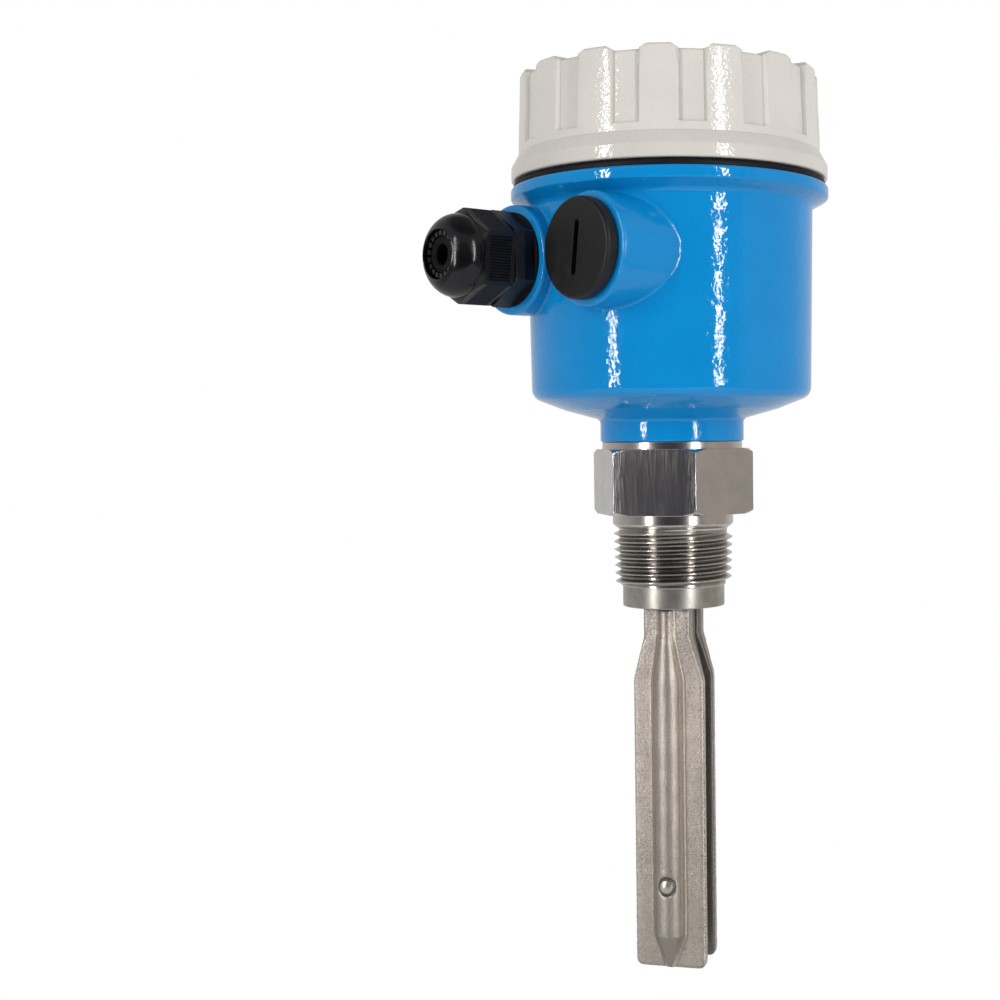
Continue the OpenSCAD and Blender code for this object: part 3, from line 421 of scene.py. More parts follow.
# Inside: two pillars for the cup's screws and the post of the earth terminal
cup_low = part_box("electronics_cup")[0].z / MM
earth_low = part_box("earth_clamp")[0].z / MM
pillar_r, pillar_side, pillar_back = 3.6, 24.3, 10
post_w, post_l, post_back, post_edge = 11, 14, 29, 0.6
across = PLUG_ENTRY.to_3x3() @ Vector((1, 0, 0))
back = PLUG_ENTRY.to_3x3() @ Vector((0, 0, -1))
for side in (-1, 1):
    foot = (across * pillar_side * side + back * pillar_back) * MM
    add(shell, disc(pillar_r, chamber_floor - 0.5, cup_low + 2, Matrix.Translation(foot), 32))
post = bmesh.new()
bmesh.ops.create_cube(post, size=MM, matrix=Matrix.LocRotScale(
    back * post_back * MM + Vector((0, 0, (chamber_floor + earth_low) / 2 * MM)),
    Matrix.Rotation(atan2(across.y, across.x), 3, "Z"), (post_w, post_l, earth_low - chamber_floor)))
bmesh.ops.bevel(post, geom=list(post.edges), offset=post_edge * MM, segments=2, profile=0.5,
                affect="EDGES", material=-1)
add(shell, post)

placed("housing_casting", shell, blue, "instrument", ["housing"])


# Cover: die-cast cap under light-grey powder coat. Fifteen lands round its edge give the
# hand its grip: each stands proud of the side and of the top, and ends square above the skirt.
# Its flanks are steep, with a fine dark line of painted shade along their foot.

cover_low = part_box("cover")[0].z / MM
cover_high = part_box("cover")[1].z / MM - cover_low
lip_r, lip_h, step_z = 43.8, 3.5, 7.0
skirt_r, face_r, depth, top_edge = 41.7, 41.1, 1.08, 1.1
crown, crown_l = 1.2, 6.0
foot_z, thread_r, hollow_r, roof = 9.4, spigot_r + 0.3, 36.9, 3.0
thread_end, lead_in = 10.5, 0.5
lands, land_turn = 15, -79.0
# A flank's top and foot in degrees from the middle of its land
flank_top, flank_foot = 6.4, 7.52
disc_z = cover_high - crown
inner_r = face_r - crown_l


def outwards(made):
    """The distance from the upright axis, in metres."""
    flat = made.node("ShaderNodeVectorMath", {"operation": "MULTIPLY"}, {0: made.place, 1: (1, 1, 0)})
    return made.node("ShaderNodeVectorMath", {"operation": "LENGTH"}, {0: flat}, output=1)


def flanks(made):
    """Painted shade along the foot of each land's flanks and faintly on the skirt, and thick coat on the
    flanks.
    """
    bearing = made.axis(1).join("ARCTAN2", made.axis(1), made.axis(0)) - radians(land_turn)
    from_land = bearing.join("PINGPONG", bearing, pi / lands)
    off_foot = (from_land - radians(flank_foot)).unsigned()
    up = made.axis(2)
    above_foot = up.step(cover_low + foot_z, cover_low + foot_z + 0.3)
    on_side = above_foot * outwards(made).step(face_r - 2.5, face_r - 1.5)
    past_top = from_land.between(radians(flank_top - 0.2), radians(flank_top + 0.2))
    past_foot = from_land.between(radians(flank_foot - 0.12), radians(flank_foot + 0.18))
    # The skirt faces a little upwards and catches more light, so it is painted a little darker: painted
    # shade.
    skirt_shade = (1 - up.step(cover_low + step_z - 0.2, cover_low + step_z + 0.2)) * 0.11
    # A fine line of painted shade along the foot of each flank, where a crevice shadow falls.
    painted_shade = (1 - off_foot.between(radians(0.10), radians(0.32))) * on_side * 0.4
    return painted_shade + skirt_shade, (past_top - past_foot) * on_side


grey = coat("light_grey_powder_coat", linear(192, 189, 184), 1.0, 0.080, 0.08, shade_and_wear=flanks)

# Each corner of the outline at a land, the same corner between two lands, and its fillet
land_and_groove = [
    ((thread_r + lead_in, 0), None, 0), ((lip_r, 0), None, 0.6), ((lip_r, lip_h), None, 1.2),
    ((skirt_r + 0.28, step_z - 0.1), None, 0.3), ((skirt_r, step_z + 0.1), None, 0.1),
    ((skirt_r, step_z + 1.2), None, 0), ((skirt_r, foot_z - 0.3), None, 0),
    ((skirt_r, foot_z - 0.1), (skirt_r - 0.2, foot_z - 0.08), 0),
    ((skirt_r, foot_z + 0.1), (skirt_r - depth + 0.25, foot_z), 0),
    ((skirt_r, foot_z + 0.3), (skirt_r - depth + 0.05, foot_z + 0.1), 0),
    ((skirt_r, foot_z + 0.9), (skirt_r - depth, foot_z + 0.5), 0)]
land_and_groove += [((skirt_r - lean, foot_z + up), (skirt_r - depth - lean, foot_z + up), 0)
                    for lean, up in ((0.15, 5), (0.4, 11))]
edge_steps = 6
for k in range(edge_steps + 1):
    bend = pi / 2 * k / edge_steps
    inwards, down = top_edge * (1 - cos(bend)), top_edge * (1 - sin(bend))
    land_and_groove.append(((face_r - inwards, cover_high - down),
                            (face_r - depth - inwards, disc_z - down), 0))
land_and_groove += [
    ((face_r - 3.2, cover_high), (face_r - 3.4, disc_z), 0),
    ((inner_r + 0.7, cover_high), (inner_r + 0.9, disc_z), 0),
    ((inner_r + 0.2, cover_high - 0.2), (inner_r + 0.4, disc_z), 0),
    ((inner_r, cover_high - 0.6), (inner_r + 0.1, disc_z), 0),
    ((inner_r - 0.15, disc_z + 0.1), (inner_r - 0.2, disc_z), 0),
    ((inner_r - 0.6, disc_z), None, 0), ((inner_r - 4, disc_z), None, 0), ((15, disc_z), None, 0),
    ((0, disc_z), None, 0), ((0, disc_z - roof), None, 0), ((hollow_r, disc_z - roof), None, 2),
    ((hollow_r, thread_end), None, 0), ((thread_r, thread_end), None, 0), ((thread_r, lead_in), None, 0)]
outline = rounded([(*land, soft) for land, groove, soft in land_and_groove])

# Across half a land: degrees from its middle, share of its depth, and share of its height on top
flank = [(0, 1, 1), (2.2, 1, 1), (4.0, 1, 1), (4.25, 1, 0.965), (4.55, 1, 0.88), (5.5, 1, 0.45),
         (6.3, 1, 0.09), (6.55, 0.995, 0.02), (6.72, 0.96, 0), (6.86, 0.88, 0), (6.98, 0.74, 0),
         (7.34, 0.14, 0), (7.44, 0.04, 0), (7.6, 0, 0), (8.2, 0, 0), (9.6, 0, 0), (10.8, 0, 0), (12, 0, 0)]
columns = flank + [(-lean, side, top) for lean, side, top in flank[-2:0:-1]]
column_count = lands * len(columns)
cap = spun(outline, column_count)
groove_of = {(round(land[0], 2), round(land[1], 2)): groove
             for land, groove, soft in land_and_groove if groove}
for vert in cap.verts:
    radius, height = vert.co.xy.length / MM, vert.co.z / MM
    if radius < 1:
        vert.co.z += cover_low * MM
        continue
    step = round(degrees(atan2(vert.co.y, vert.co.x)) * column_count / 360)
    land, column = divmod(step, len(columns))
    lean, side, top = columns[column]
    groove = groove_of.get((round(radius, 2), round(height, 2)))
    if groove:
        height = min(height, disc_z + crown * top) if height > disc_z else height
        radius = groove[0] + (radius - groove[0]) * side
        height = groove[1] + (height - groove[1]) * side
    bearing = radians(lean + land_turn + (land + (lean < 0)) * 360 / lands)
    vert.co = Vector((radius * cos(bearing), radius * sin(bearing), height + cover_low)) * MM
placed("cover_cap", cap, grey, "cover_turned", ["cover"], sharp=50)


# Cover seal: a black rubber O-ring, squeezed between the cover's lip and the rim, so that
# only a dark band of it shows.

def rubber(name, shade, gloss):
    """Rubber with a little pale dust on it."""
    color = (shade, shade * 0.9, shade * 1.4)
    made = Finish(name, color, 0.48, Specular_IOR_Level=gloss)
    dust = made.noise(0.5, 4)
    dark, pale = (tuple(share * c for c in color) for share in (0.8, 1.7))
    made.set("Base Color", made.mix(dust.between(0.35, 0.8), dark, pale))
    made.set("Roughness", 0.42 + made.noise(1.4, 3) * 0.22)
    made.set("Normal", made.bump(dust, 0.012))
    return made.material


def refinish(material, *nodes):
    """Gives CAD nodes whose shape is right their finish."""
    for name in nodes:
        faces = frame["nodes"][name].data
        faces.materials.clear()
        faces.materials.append(material)


seal_rubber = rubber("black_rubber", 0.005, 0.18)
refinish(seal_rubber, "cover_seal", "gland_washer", "plug_washer", "neck_seal")


# Cable gland: black glass-filled polyamide. The body is screwed in the left-hand boss; the
# knurled nut's dome squeezes a ring of fingers on the rubber sleeve, whose mouth shows inside.

def moulding(name, color, roughness, grain=0.18, depth=0.006, gloss=0.5, shine=None):
    """Moulded plastic with a fine grained skin and faint rubbed patches. shine gives the share of
    its surface that comes smooth out of a polished mould."""
    made = Finish(name, color, roughness, Specular_IOR_Level=gloss)
    rubbed_and_highlight = made.noise(4, 4).between(0.42, 0.72)
    made.set("Base Color", made.mix(rubbed_and_highlight, tuple(0.82 * c for c in color), tuple(1.25 * c for c in color)))
    made.set("Roughness", roughness - 0.06 + rubbed_and_highlight * 0.12 - (shine(made) * 0.22 if shine else 0))
    made.set("Normal", made.bump(made.noise(grain, 2) + made.noise(grain * 7, 1) * 0.5, depth))
    return made.material


def softened(name, node, material, body, width):
    """A CAD node's own form with its edges broken, as a mould or a tumbling drum leaves them."""
    rounded_past = radians(24)
    shape = bmesh.new()
    shape.from_mesh(frame["nodes"][node].data)
    bmesh.ops.remove_doubles(shape, verts=shape.verts, dist=2e-6)
    bmesh.ops.dissolve_limit(shape, angle_limit=radians(0.5), verts=shape.verts, edges=shape.edges)
    shape = after_modifier(shape, "BEVEL", width=width * MM, segments=2, limit_method="ANGLE",
                           angle_limit=rounded_past, harden_normals=False, use_clamp_overlap=True)
    placed(name, shape, material, body, [node], flats=True)


dome_h = 7.2
nut_corners = [GLAND_ENTRY.inverted() @ vert.co for vert in frame["nodes"]["gland_nut"].data.vertices]
dome_foot = max(corner.z for corner in nut_corners) / MM - dome_h


def dome(made):
    """1 on the gland's dome, 0 on its hexagons, from the distance out along the entry."""
    return made.along(GLAND_ENTRY.col[2].xyz).step(dome_foot - 0.6, dome_foot + 0.4)


black = moulding("black_polyamide", (0.0042, 0.0037, 0.0056), 0.44, 0.3, 0.003, 0.33, dome)
softened("gland_hexagon", "gland_body", black, "instrument", 0.22)
softened("gland_dome_nut", "gland_nut", black, "nut_turned", 0.10)
claw = moulding("grey_black_polyamide", (0.012, 0.012, 0.015), 0.30)
refinish(claw, "gland_cage")
refinish(rubber("sleeve_rubber", 0.003, 0.12), "gland_sleeve")


# Blind plug: the same black polyamide, a slotted disc with a threaded shank that closes the
# spare entry. Its face has a finer, satin skin.

satin = moulding("satin_black_polyamide", (0.0034, 0.003, 0.0046), 0.5, 0.12, gloss=0.36)
softened("blind_plug_disc", "blind_plug", satin, "plug_turned", 0.12)


# Process connector: stainless bar, turned in one piece with its wrench hexagon. Ring and
# neck are bright turned, the hexagon's flats are milled and brushed along the axis, and the
# tapered pipe thread is cut right-handed, so its crests climb to the right as one looks at it.

def turned_steel(name, color, roughness, ridge, long_axis, depth=0.004, shade_and_wear=None):
    """Machined steel. ridge is the width of the tool marks, and long_axis the way that they run.
    Its last argument gives the share that is painted darker and the share that is rubbed rough."""
    made = Finish(name, color, roughness, Metallic=1.0)
    stretch = {"round": (60, 60, 1), "up": (1, 1, 130)}[long_axis]
    marks = made.noise(ridge, 3, stretch, 0.65)
    wide = made.noise(ridge * 6, 2, stretch)
    stain = made.noise(6, 3)
    shade_and_dirt, rubbed_and_highlight = shade_and_wear(made, marks) if shade_and_wear else (0, 0)
    tone = made.mix(stain.between(0.3, 0.75), tuple(0.88 * c for c in color), color)
    # The first share darkens the colour: painted shade in the thread's roots, a darker collar, and the dark
    # seam round the tine plugs.
    made.set("Base Color", made.mix(shade_and_dirt, tone, (0.10, 0.09, 0.08)))
    made.set("Roughness", roughness + marks * 0.10 + wide * 0.06 - 0.08 + rubbed_and_highlight)
    made.set("Normal", made.bump(marks + wide * 0.3, depth))
    return made.material


across_flats, hex_h, hex_chamfer, hex_edge = 40.0, 18.1, 1.8, 0.22
ring_r, ring_top = 19.6, neck_low
stem_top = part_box("process_connector")[1].z / MM
seal_groove_low, seal_groove_high, seal_groove_depth = 3.8, 6.2, 2.1
lead_bore_r, seat_gap = 4.5, 0.05
collar_r, collar_h, collar_head_r = 14.25, 5.8, 14.65
collar_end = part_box("process_connector")[0].z / MM
collar_top = collar_end + collar_h
low_bore_r, low_bore_h = 12.7, 2.4
neck_under_r, neck_under = 16.9, -3.6
# The pipe thread, whose radius shrinks by 1 in 32 downwards from crest_at
pitch, tooth, crest_r, turns, taper = 2.209, 1.6, 16.7, 6.9, 1 / 32
crest_at = neck_under - 1.6


def thread_shade_and_wear(made, marks):
    """Painted shade in the roots of the thread, and a collar that is darker, cloudy and duller than the neck.
    """
    up = made.axis(2)
    on_thread = up.step(collar_top + 0.2, collar_top + 0.8) - up.step(neck_under - 1.2, neck_under - 0.6)
    root = 1 - outwards(made).step(crest_r - tooth, crest_r - 0.35)
    on_collar = 1 - up.step(collar_top - 0.3, collar_top)
    cloudy = 0.28 + made.noise(2.5, 3).between(0.4, 0.7) * 0.15
    # The thread's roots are darkened as painted shade.
    return root * on_thread * 0.5 + on_collar * cloudy, on_collar * 0.13


def scratches(made, marks):
    """Fine scratches along the flats, closer together near their top and their corners."""
    near_top = made.axis(2).line(hex_h * 0.3, hex_h)
    near_corner = outwards(made).step(21.2, 22.9)
    return 0, marks.between(0.45, 0.70) * (0.05 + near_top * 0.08 + near_corner * 0.16)


steel = turned_steel("turned_stainless", (0.60, 0.575, 0.545), 0.20, 0.14, "round", 0.003, thread_shade_and_wear)
milled = turned_steel("brushed_stainless", (0.58, 0.565, 0.56), 0.13, 0.055, "up", 0.0021, scratches)

corner_r = across_flats / sqrt(3)
edge_r, rise = corner_r - hex_chamfer, hex_chamfer * tan(radians(30))
hexagon = bmesh.new()
bmesh.ops.create_cone(
    hexagon, cap_ends=True, segments=6, radius1=corner_r * MM, radius2=corner_r * MM, depth=hex_h * MM,
    matrix=Matrix.Translation((0, 0, hex_h / 2 * MM)) @ Matrix.Rotation(radians(30), 4, "Z"))
barrel = spun([(0, -0.01), (edge_r, -0.01), (corner_r + 0.4, rise + 0.2),
               (corner_r + 0.4, hex_h - rise - 0.2), (edge_r, hex_h + 0.01), (0, hex_h + 0.01)])
hexagon = cut(hexagon, [barrel], "INTERSECT")
bmesh.ops.remove_doubles(hexagon, verts=hexagon.verts, dist=1e-6)
ridges = [e for e in hexagon.edges if len(e.link_faces) == 2 and e.calc_face_angle(0) > radians(20)]
bmesh.ops.bevel(hexagon, geom=ridges, offset=hex_edge * MM, segments=2, profile=0.5,
                affect="EDGES", material=-1)
placed("wrench_hexagon", hexagon, milled, "instrument", ["process_connector"], flats=True)


def root_r(z):
    """The radius of the thread's root at a height."""
    return crest_r - tooth - (crest_at - z) * taper


# The turned part above the hexagon: ring, fixing with the seal's groove, and stem
fixing_out, stem_out = fixing_r - seat_gap, stem_r - seat_gap
groove_low, groove_high = ring_top + seal_groove_low, ring_top + seal_groove_high
groove_in = fixing_r - seal_groove_depth
upper = rounded([
    (0, hex_h - 1.2, 0), (ring_r, hex_h - 1.2, 0), (ring_r, ring_top, 0.3), (fixing_out, ring_top, 0),
    (fixing_out, groove_low, 0), (groove_in, groove_low, 0), (groove_in, groove_high, 0),
    (fixing_out, groove_high, 0), (fixing_out, ring_top + fixing_h - seat_gap, 0),
    (stem_out, ring_top + fixing_h - seat_gap, 0), (stem_out, stem_top, 0.6), (lead_bore_r, stem_top, 0),
    (lead_bore_r, hex_h - 1.0, 0), (0, hex_h - 1.0, 0)])
turned = spun(upper, 160)
# And below it: neck, the core that the thread winds round, and collar
lower = rounded([
    (lead_bore_r, 1.0, 0), (neck_under_r, 1.0, 0), (neck_under_r, neck_under + 0.9, 0.4),
    (neck_under_r - 0.9, neck_under, 0.2), (root_r(neck_under) + 0.35, neck_under - 0.2, 0.2),
    (root_r(neck_under - 0.8), neck_under - 0.9, 0), (root_r(collar_top + 0.3), collar_top + 0.5, 0.2),
    (collar_head_r, collar_top + 0.45, 0.15), (collar_head_r, collar_top, 0.15),
    (collar_r, collar_top - 0.1, 0.1), (collar_r, collar_end, 0.3), (low_bore_r, collar_end, 0.2),
    (low_bore_r, collar_end + low_bore_h, 0), (lead_bore_r, collar_end + low_bore_h, 0)])
add(turned, spun(lower))

# One tooth, as its distance out from the root and its height, and how the thread starts and ends
tooth_outline = [(-0.5, -0.96), (0, -0.93), (tooth - 0.20, -0.20), (tooth - 0.06, -0.12), (tooth, -0.03),
                 (tooth, 0.03), (tooth - 0.06, 0.12), (tooth - 0.20, 0.20), (0, 0.93), (-0.5, 0.96)]
start_z, per_turn = neck_under - 0.95, 128
run_in, run_out, sink = 0.35, 0.45, 0.25
thread = bmesh.new()
ring = [thread.verts.new(((root_r(start_z) + r) * MM, 0, (start_z + z) * MM)) for r, z in tooth_outline]
loop = [thread.edges.new(pair) for pair in zip(ring, ring[1:] + ring[:1])]
bmesh.ops.spin(thread, geom=ring + loop, axis=(0, 0, -1), cent=(0, 0, 0), angle=2 * pi * turns,
               steps=round(turns * per_turn), dvec=(0, 0, -pitch / per_turn * MM))
for order, vert in enumerate(thread.verts):
    turn = order // len(ring) / per_turn
    out = tooth_outline[order % len(ring)][0]
    fade = min(1, turn / run_in, max((turns - turn) / run_out, 0))
    radius = root_r(start_z - turn * pitch) + out * (fade if out > 0 else 1) - sink * (1 - fade)
    vert.co.xy = vert.co.xy.normalized() * radius * MM
bmesh.ops.holes_fill(thread, edges=[e for e in thread.edges if e.is_boundary], sides=0)
bmesh.ops.recalc_face_normals(thread, faces=thread.faces)
add(turned, thread)
placed("turned_connector", turned, steel, "instrument", sharp=32)


# Fork: two paddles with half-round ribs on one diaphragm, investment cast in stainless steel
# and blasted, so that its skin is matt and grainy. Its edges carry a speckled painted highlight.

half_gap, paddle_t = 4.3, 3.2
paddle_out = half_gap + paddle_t
tine_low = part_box("fork")[0].z / MM
flare_top, flare_end = collar_end - 8.3, collar_end - 20.3
rib_end = tine_low + 0.3
rib_point = rib_end + 9.3
# The paddles' side, from the fork's corners below the flare
paddle_side = max(vert.co.x for vert in frame["nodes"]["fork"].data.vertices
                  if vert.co.z < (tine_low + 20) * MM) / MM


def cast_steel():
    """A grainy cast skin, with painted shade in the gap and towards the tips, brownish lines at the foot of
    the ribs, and a painted highlight speckled along the edges.
    """
    made = Finish("cast_stainless", (0.46, 0.425, 0.39), 0.5, Metallic=1.0)
    grain = made.noise(0.36, 3, rough=0.65)
    pits = made.noise(0.8, 2).between(0.62, 0.74)
    patches = made.noise(7, 3).between(0.3, 0.7)
    across, deep, up = made.axis(0).unsigned(), made.axis(1).unsigned(), made.axis(2)
    # Where on the fork a point lies, from 0 to 1
    outside = deep.step(paddle_out - 0.5, paddle_out - 0.1)
    # The paddles' inner faces, in the gap between them, are painted dark: painted shade.
    gap_shade = 1 - deep.step(paddle_out - 2.9, paddle_out - 2.3)
    rib_r = (up.line(flare_top, flare_end) * 2.05 - up.line(rib_point, rib_end) * 3.2 + 2.25) * MM
    off_rib = across - rib_r
    strip = (off_rib.step(-0.75, -0.45) - off_rib.step(0.25, 0.5)) * outside
    crease = off_rib.stripe(-0.75, 0.06, 0.26) * outside
    foot = off_rib.stripe(0.5, 0.05, 0.25) * outside
    on_rib = (1 - off_rib.step(-0.9, -0.6)) * outside
    point = (1 - up.step(rib_point - 0.1, rib_point + 0.3)) * on_rib
    root = up.step(flare_end, flare_top + 3)
    side = across.step(paddle_side - 0.5, paddle_side - 0.1)
    rim = across.step(paddle_side - 0.5, paddle_side - 0.25)
    low = made.mix(patches, (0.375, 0.34, 0.305), (0.435, 0.395, 0.355))
    high = made.mix(patches, (0.52, 0.47, 0.43), (0.64, 0.58, 0.53))
    # The skin is painted darker towards the tips of the paddles: painted shade.
    tone = made.mix(up.line(tine_low + 8, flare_top), low, high)
    between_grains = made.mix(0.5 + root * 0.3 - on_rib * 0.2, tone, (0.16, 0.14, 0.125))
    tone = made.mix(grain.between(0.36, 0.62), between_grains, tone)
    # A pale colour, speckled with the grain along the paddles' side edges and rims: painted highlight.
    rubbed_and_highlight = (0.90, 0.87, 0.83)
    # Over the grain: a pale strip beside each rib, a darker rib, the painted highlight along the edges, dark
    # pits, brownish creases, and painted shade in the gap.
    for share, color in (
            (strip * 0.45, (0.64, 0.59, 0.52)), (point * 0.18 + on_rib * 0.18, (0.16, 0.145, 0.125)),
            (side * grain.between(0.50, 0.60) * 0.8, rubbed_and_highlight), (pits * 0.4, (0.14, 0.12, 0.10)),
            (crease * 0.45 + foot * 0.5, (0.20, 0.15, 0.11)), (rim * grain.between(0.50, 0.58) * 0.6, rubbed_and_highlight),
            (gap_shade * 0.7, (0.09, 0.08, 0.075))):
        tone = made.mix(share, tone, color)
    made.set("Base Color", tone)
    made.set("Roughness", 0.54 - grain * 0.14 + pits * 0.1 - on_rib * 0.05)
    skin = (grain + made.noise(1.6, 2) * 0.8 - pits * 0.3) * (1 - on_rib * 0.25)
    made.set("Normal", made.bump(skin, 0.10, made.bump(strip, 0.03)))
    return made.material


voxel, skin_rounds = 0.42, 2
bend_reach, bend_rounds = 1.6, 14
dent_size, dent_depth = 1.3, 0.035
rough = bmesh.new()
rough.from_mesh(frame["nodes"]["fork"].data)
bmesh.ops.remove_doubles(rough, verts=rough.verts, dist=2e-6)
rough = after_modifier(rough, "REMESH", mode="VOXEL", voxel_size=voxel * MM, adaptivity=0)
for _ in range(skin_rounds):
    bmesh.ops.smooth_vert(rough, verts=rough.verts, factor=0.5,
                          use_axis_x=True, use_axis_y=True, use_axis_z=True)
flare_bend = [vert for vert in rough.verts if abs(vert.co.z - flare_top * MM) < bend_reach * MM]
for _ in range(bend_rounds):
    bmesh.ops.smooth_vert(rough, verts=flare_bend, factor=0.5,
                          use_axis_x=False, use_axis_y=True, use_axis_z=False)
rough.normal_update()
for vert in rough.verts:
    vert.co += vert.normal * (noise.noise(vert.co / (dent_size * MM)) - 0.6) * dent_depth * MM
placed("cast_fork", rough, cast_steel(), "instrument", ["fork"], sharp=70)


# Tine plugs: a small steel dome in each rib, turned and polished. It is pressed in its seat,
# and a thin dark ring shows round it.

plug_z = (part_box("tine_plugs")[0].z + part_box("tine_plugs")[1].z) / 2


def seam(made, marks):
    """The dark ring round each dome, where it is pressed in, and its duller rim."""
    flat = made.node("ShaderNodeVectorMath", {"operation": "MULTIPLY"}, {0: made.place, 1: (1, 0, 1)})
    out = made.node("ShaderNodeVectorMath", {"operation": "DISTANCE"}, {0: flat, 1: (0, 0, plug_z)}, output=1)
    ring = out.step(1.62, 1.85)
    return ring * 0.85, ring * 0.2


polished = turned_steel("polished_stainless", (0.52, 0.48, 0.44), 0.34, 0.3, "round", 0.012, seam)
refinish(polished, "tine_plugs")


# Piezo drive, inside the connector: ceramic discs and brass electrodes in a stack, which a
# plated stud, a disc and a nut press on the fork's diaphragm.

plated = turned_steel("plated_steel", (0.62, 0.61, 0.60), 0.34, 0.2, "round")
refinish(plated, "drive_stud", "clamp_disc", "stack_nut", "neck_washer", "neck_nut", "terminal_screws",
         "cup_screws", "earth_clamp")
brass = turned_steel("bright_brass", (0.78, 0.57, 0.22), 0.28, 0.2, "round")
refinish(brass, "electrode_plates", "terminal_clamps", "earth_screw")
refinish(moulding("piezo_ceramic", (0.62, 0.56, 0.40), 0.6, 0.1), "piezo_discs")
refinish(moulding("white_alumina", (0.80, 0.78, 0.72), 0.45, 0.1), "insulator_rings")
refinish(moulding("lead_insulation", (0.30, 0.05, 0.04), 0.4, 0.4), "sensor_leads")


# Electronics: a moulded cup over the lacquered board and its components, with the terminal
# block, the two slide switches and the signal lamps on top.

def laminate():
    """Green board with the copper tracks and the glass weave showing through its lacquer."""
    made = Finish("green_laminate", (0.02, 0.14, 0.06), 0.3, Coat_Weight=0.5, Coat_Roughness=0.1)
    weave = made.noise(0.5, 2, (6, 1, 1)) * made.noise(0.5, 2, (1, 6, 1))
    tracks = made.node("ShaderNodeTexVoronoi", {"feature": "DISTANCE_TO_EDGE", "distance": "MANHATTAN"},
                       {"Vector": made.place, "Scale": 300.0}).between(0.10, 0.14)
    made.set("Base Color", made.mix(tracks, (0.03, 0.22, 0.09), (0.015, 0.11, 0.05)))
    made.set("Normal", made.bump(weave - tracks * 0.2, 0.02))
    return made.material


refinish(laminate(), "circuit_board")
refinish(moulding("cup_polycarbonate", (0.022, 0.024, 0.030), 0.45, 0.25), "electronics_cup")
refinish(moulding("relay_case", (0.70, 0.17, 0.02), 0.28, 0.4), "relay")
refinish(moulding("varnished_iron", (0.05, 0.04, 0.035), 0.35, 0.5), "transformer")
refinish(moulding("capacitor_sleeve", (0.012, 0.016, 0.07), 0.3, 0.4), "capacitors")
refinish(moulding("terminal_green", (0.01, 0.17, 0.065), 0.4), "terminal_block")
refinish(moulding("switch_red", (0.45, 0.015, 0.012), 0.3), "switch_case")
refinish(moulding("slider_white", (0.85, 0.85, 0.82), 0.4), "mode_slider", "density_slider")
refinish(moulding("green_lens", (0.05, 0.50, 0.08), 0.12, 0.6), "green_lamp")
refinish(moulding("amber_lens", (0.85, 0.32, 0.02), 0.12, 0.6), "amber_lamp")


# Studio: the instrument hangs over a pale floor in front of white. Two tall narrow lamps
# draw the upright highlights, and the room behind the camera is dim, as gloss and steel show.

scene = bpy.context.scene
scene.view_settings.view_transform = "Standard"
# In pixels: the picture's side, the lens's focal length, and the column of the instrument's axis
picture, focal_px, axis_px = 1000, 1570.0, 672.84
stand_off, camera_z, camera_at = 0.4402, 0.02158, radians(284.5)
pitch_down, roll = radians(2.334), radians(0.6)
towards = Vector((-cos(camera_at) * cos(pitch_down), -sin(camera_at) * cos(pitch_down), -sin(pitch_down)))
right = towards.cross(Vector((0, 0, 1))).normalized()
up = right.cross(towards)
right, up = right * cos(roll) - up * sin(roll), up * cos(roll) + right * sin(roll)
lens = bpy.data.cameras.new("camera")
lens.sensor_width = 36
lens.lens = focal_px / picture * lens.sensor_width
lens.shift_x = (picture / 2 - axis_px) / picture
lens.clip_start = 0.01
camera = bpy.data.objects.new("camera", lens)
camera.matrix_world = Matrix((
    (right.x, up.x, -towards.x, stand_off * cos(camera_at)),
    (right.y, up.y, -towards.y, stand_off * sin(camera_at)),
    (right.z, up.z, -towards.z, camera_z), (0, 0, 0, 1)))
scene.collection.objects.link(camera)
scene.camera = camera

# Each lamp's bearing is in degrees to the right of the camera, and its sizes in metres
lamp_out, lamp_z, lamp_w, lamp_h, lamp_power = 1.1, 0.20, 0.045, 1.0, 7.0
lit = Vector((0, 0, 0.02))
for name, bearing in (("left_strip", -46), ("right_strip", 38)):
    light = bpy.data.lights.new(name, "AREA")
    light.shape = "RECTANGLE"
    light.size, light.size_y = lamp_w, lamp_h
    light.energy = lamp_power
    light.color = (1, 0.98, 0.95)
    at = camera_at + radians(bearing)
    holder = bpy.data.objects.new(name, light)
    holder.location = (lamp_out * cos(at), lamp_out * sin(at), lamp_z)
    holder.rotation_euler = (lit - holder.location).to_track_quat("-Z", "Y").to_euler()
    scene.collection.objects.link(holder)

world = bpy.data.worlds.new("studio")
scene.world = world
world.use_nodes = True


class Room(Finish):
    """The light all round, made of the same nodes as a finish."""

    def __init__(self, tree):
        self.tree = tree
        self.place = self.node("ShaderNodeTexCoord")


# What gloss and steel mirror: dim behind the camera, above and below, bright behind the
# instrument, and with a warm wall to the right, whose edge shows on the blue paint
room = Room(world.node_tree)
facing = room.along((cos(camera_at), sin(camera_at), 0))
side = room.along((-sin(camera_at), cos(camera_at), 0))
front = facing * 0.5 + 0.5
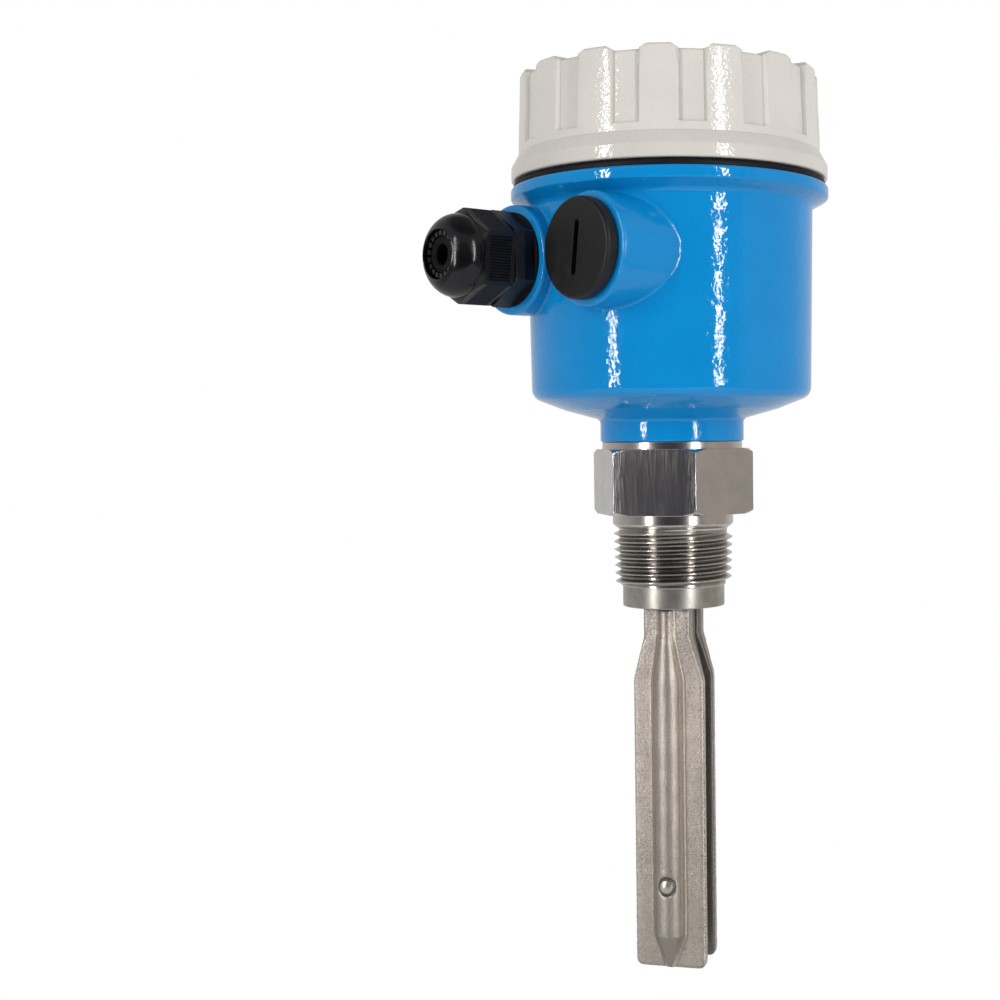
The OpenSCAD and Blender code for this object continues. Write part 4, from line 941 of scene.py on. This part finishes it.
# Place, level of light and blueness, from behind the instrument at 0 to behind the camera at 1
levels = (0.0, 0.70, 0.97), (0.45, 0.47, 0.97), (0.72, 0.20, 1.0), (0.90, 0.065, 1.12), (1.0, 0.04, 1.2)
stops = [(place, (level, level * 0.985, level * blueness, 1)) for place, level, blueness in levels]
ramp = room.node("ShaderNodeValToRGB", {"stops": stops}, {0: front})
mirrored = room.mix(side.between(0.80, 0.90), ramp, (0.47, 0.425, 0.38))
above = room.axis(2)
mirrored = room.mix(above.unsigned().between(0.35, 0.90) * 0.7, mirrored, (0.03, 0.03, 0.03))
overhead = above.between(0.38, 0.52) - above.between(0.72, 0.84)
mirrored = room.mix(overhead * 0.8, mirrored, (0.55, 0.55, 0.55))
# What lights matt surfaces: soft, and somewhat stronger from behind and from the right
left_light = room.mix(front, (1.10,) * 3, (0.54,) * 3)
right_light = room.mix(front, (2.1,) * 3, (0.74,) * 3)
matt = room.mix(side * 0.5 + 0.5, left_light, right_light)
matt = room.mix(above.between(0.05, 0.7) * 0.8, matt, (0.24, 0.24, 0.24))
glow = room.mix(room.node("ShaderNodeLightPath", output="Is Glossy Ray"), matt, mirrored)
for way in ("Is Transmission Ray", "Is Camera Ray"):
    glow = room.mix(room.node("ShaderNodeLightPath", output=way), glow, (1, 1, 1))
room.feed(room.tree.nodes["Background"].inputs["Color"], glow)

floor_half, floor_z = 0.4, -0.19
floor_shape = bmesh.new()
bmesh.ops.create_grid(floor_shape, x_segments=1, y_segments=1, size=floor_half)
floor_mesh = bpy.data.meshes.new("floor")
floor_shape.to_mesh(floor_mesh)
floor_shape.free()
floor_mesh.transform(Matrix.Translation((0, 0, floor_z)))
floor = bpy.data.objects.new("floor", floor_mesh)
scene.collection.objects.link(floor)
paper = Finish("white_paper", (0.9, 0.9, 0.9), 0.9)
shine = paper.node("ShaderNodeEmission", {}, {"Color": (1, 1, 1, 1)})
seen = paper.node("ShaderNodeLightPath", output="Is Camera Ray")
both = paper.node("ShaderNodeMixShader", {}, {0: seen, 1: Wire(paper, paper.surface.outputs[0]), 2: shine})
paper.feed(paper.tree.nodes["Material Output"].inputs["Surface"], both)
floor_mesh.materials.append(paper.material)
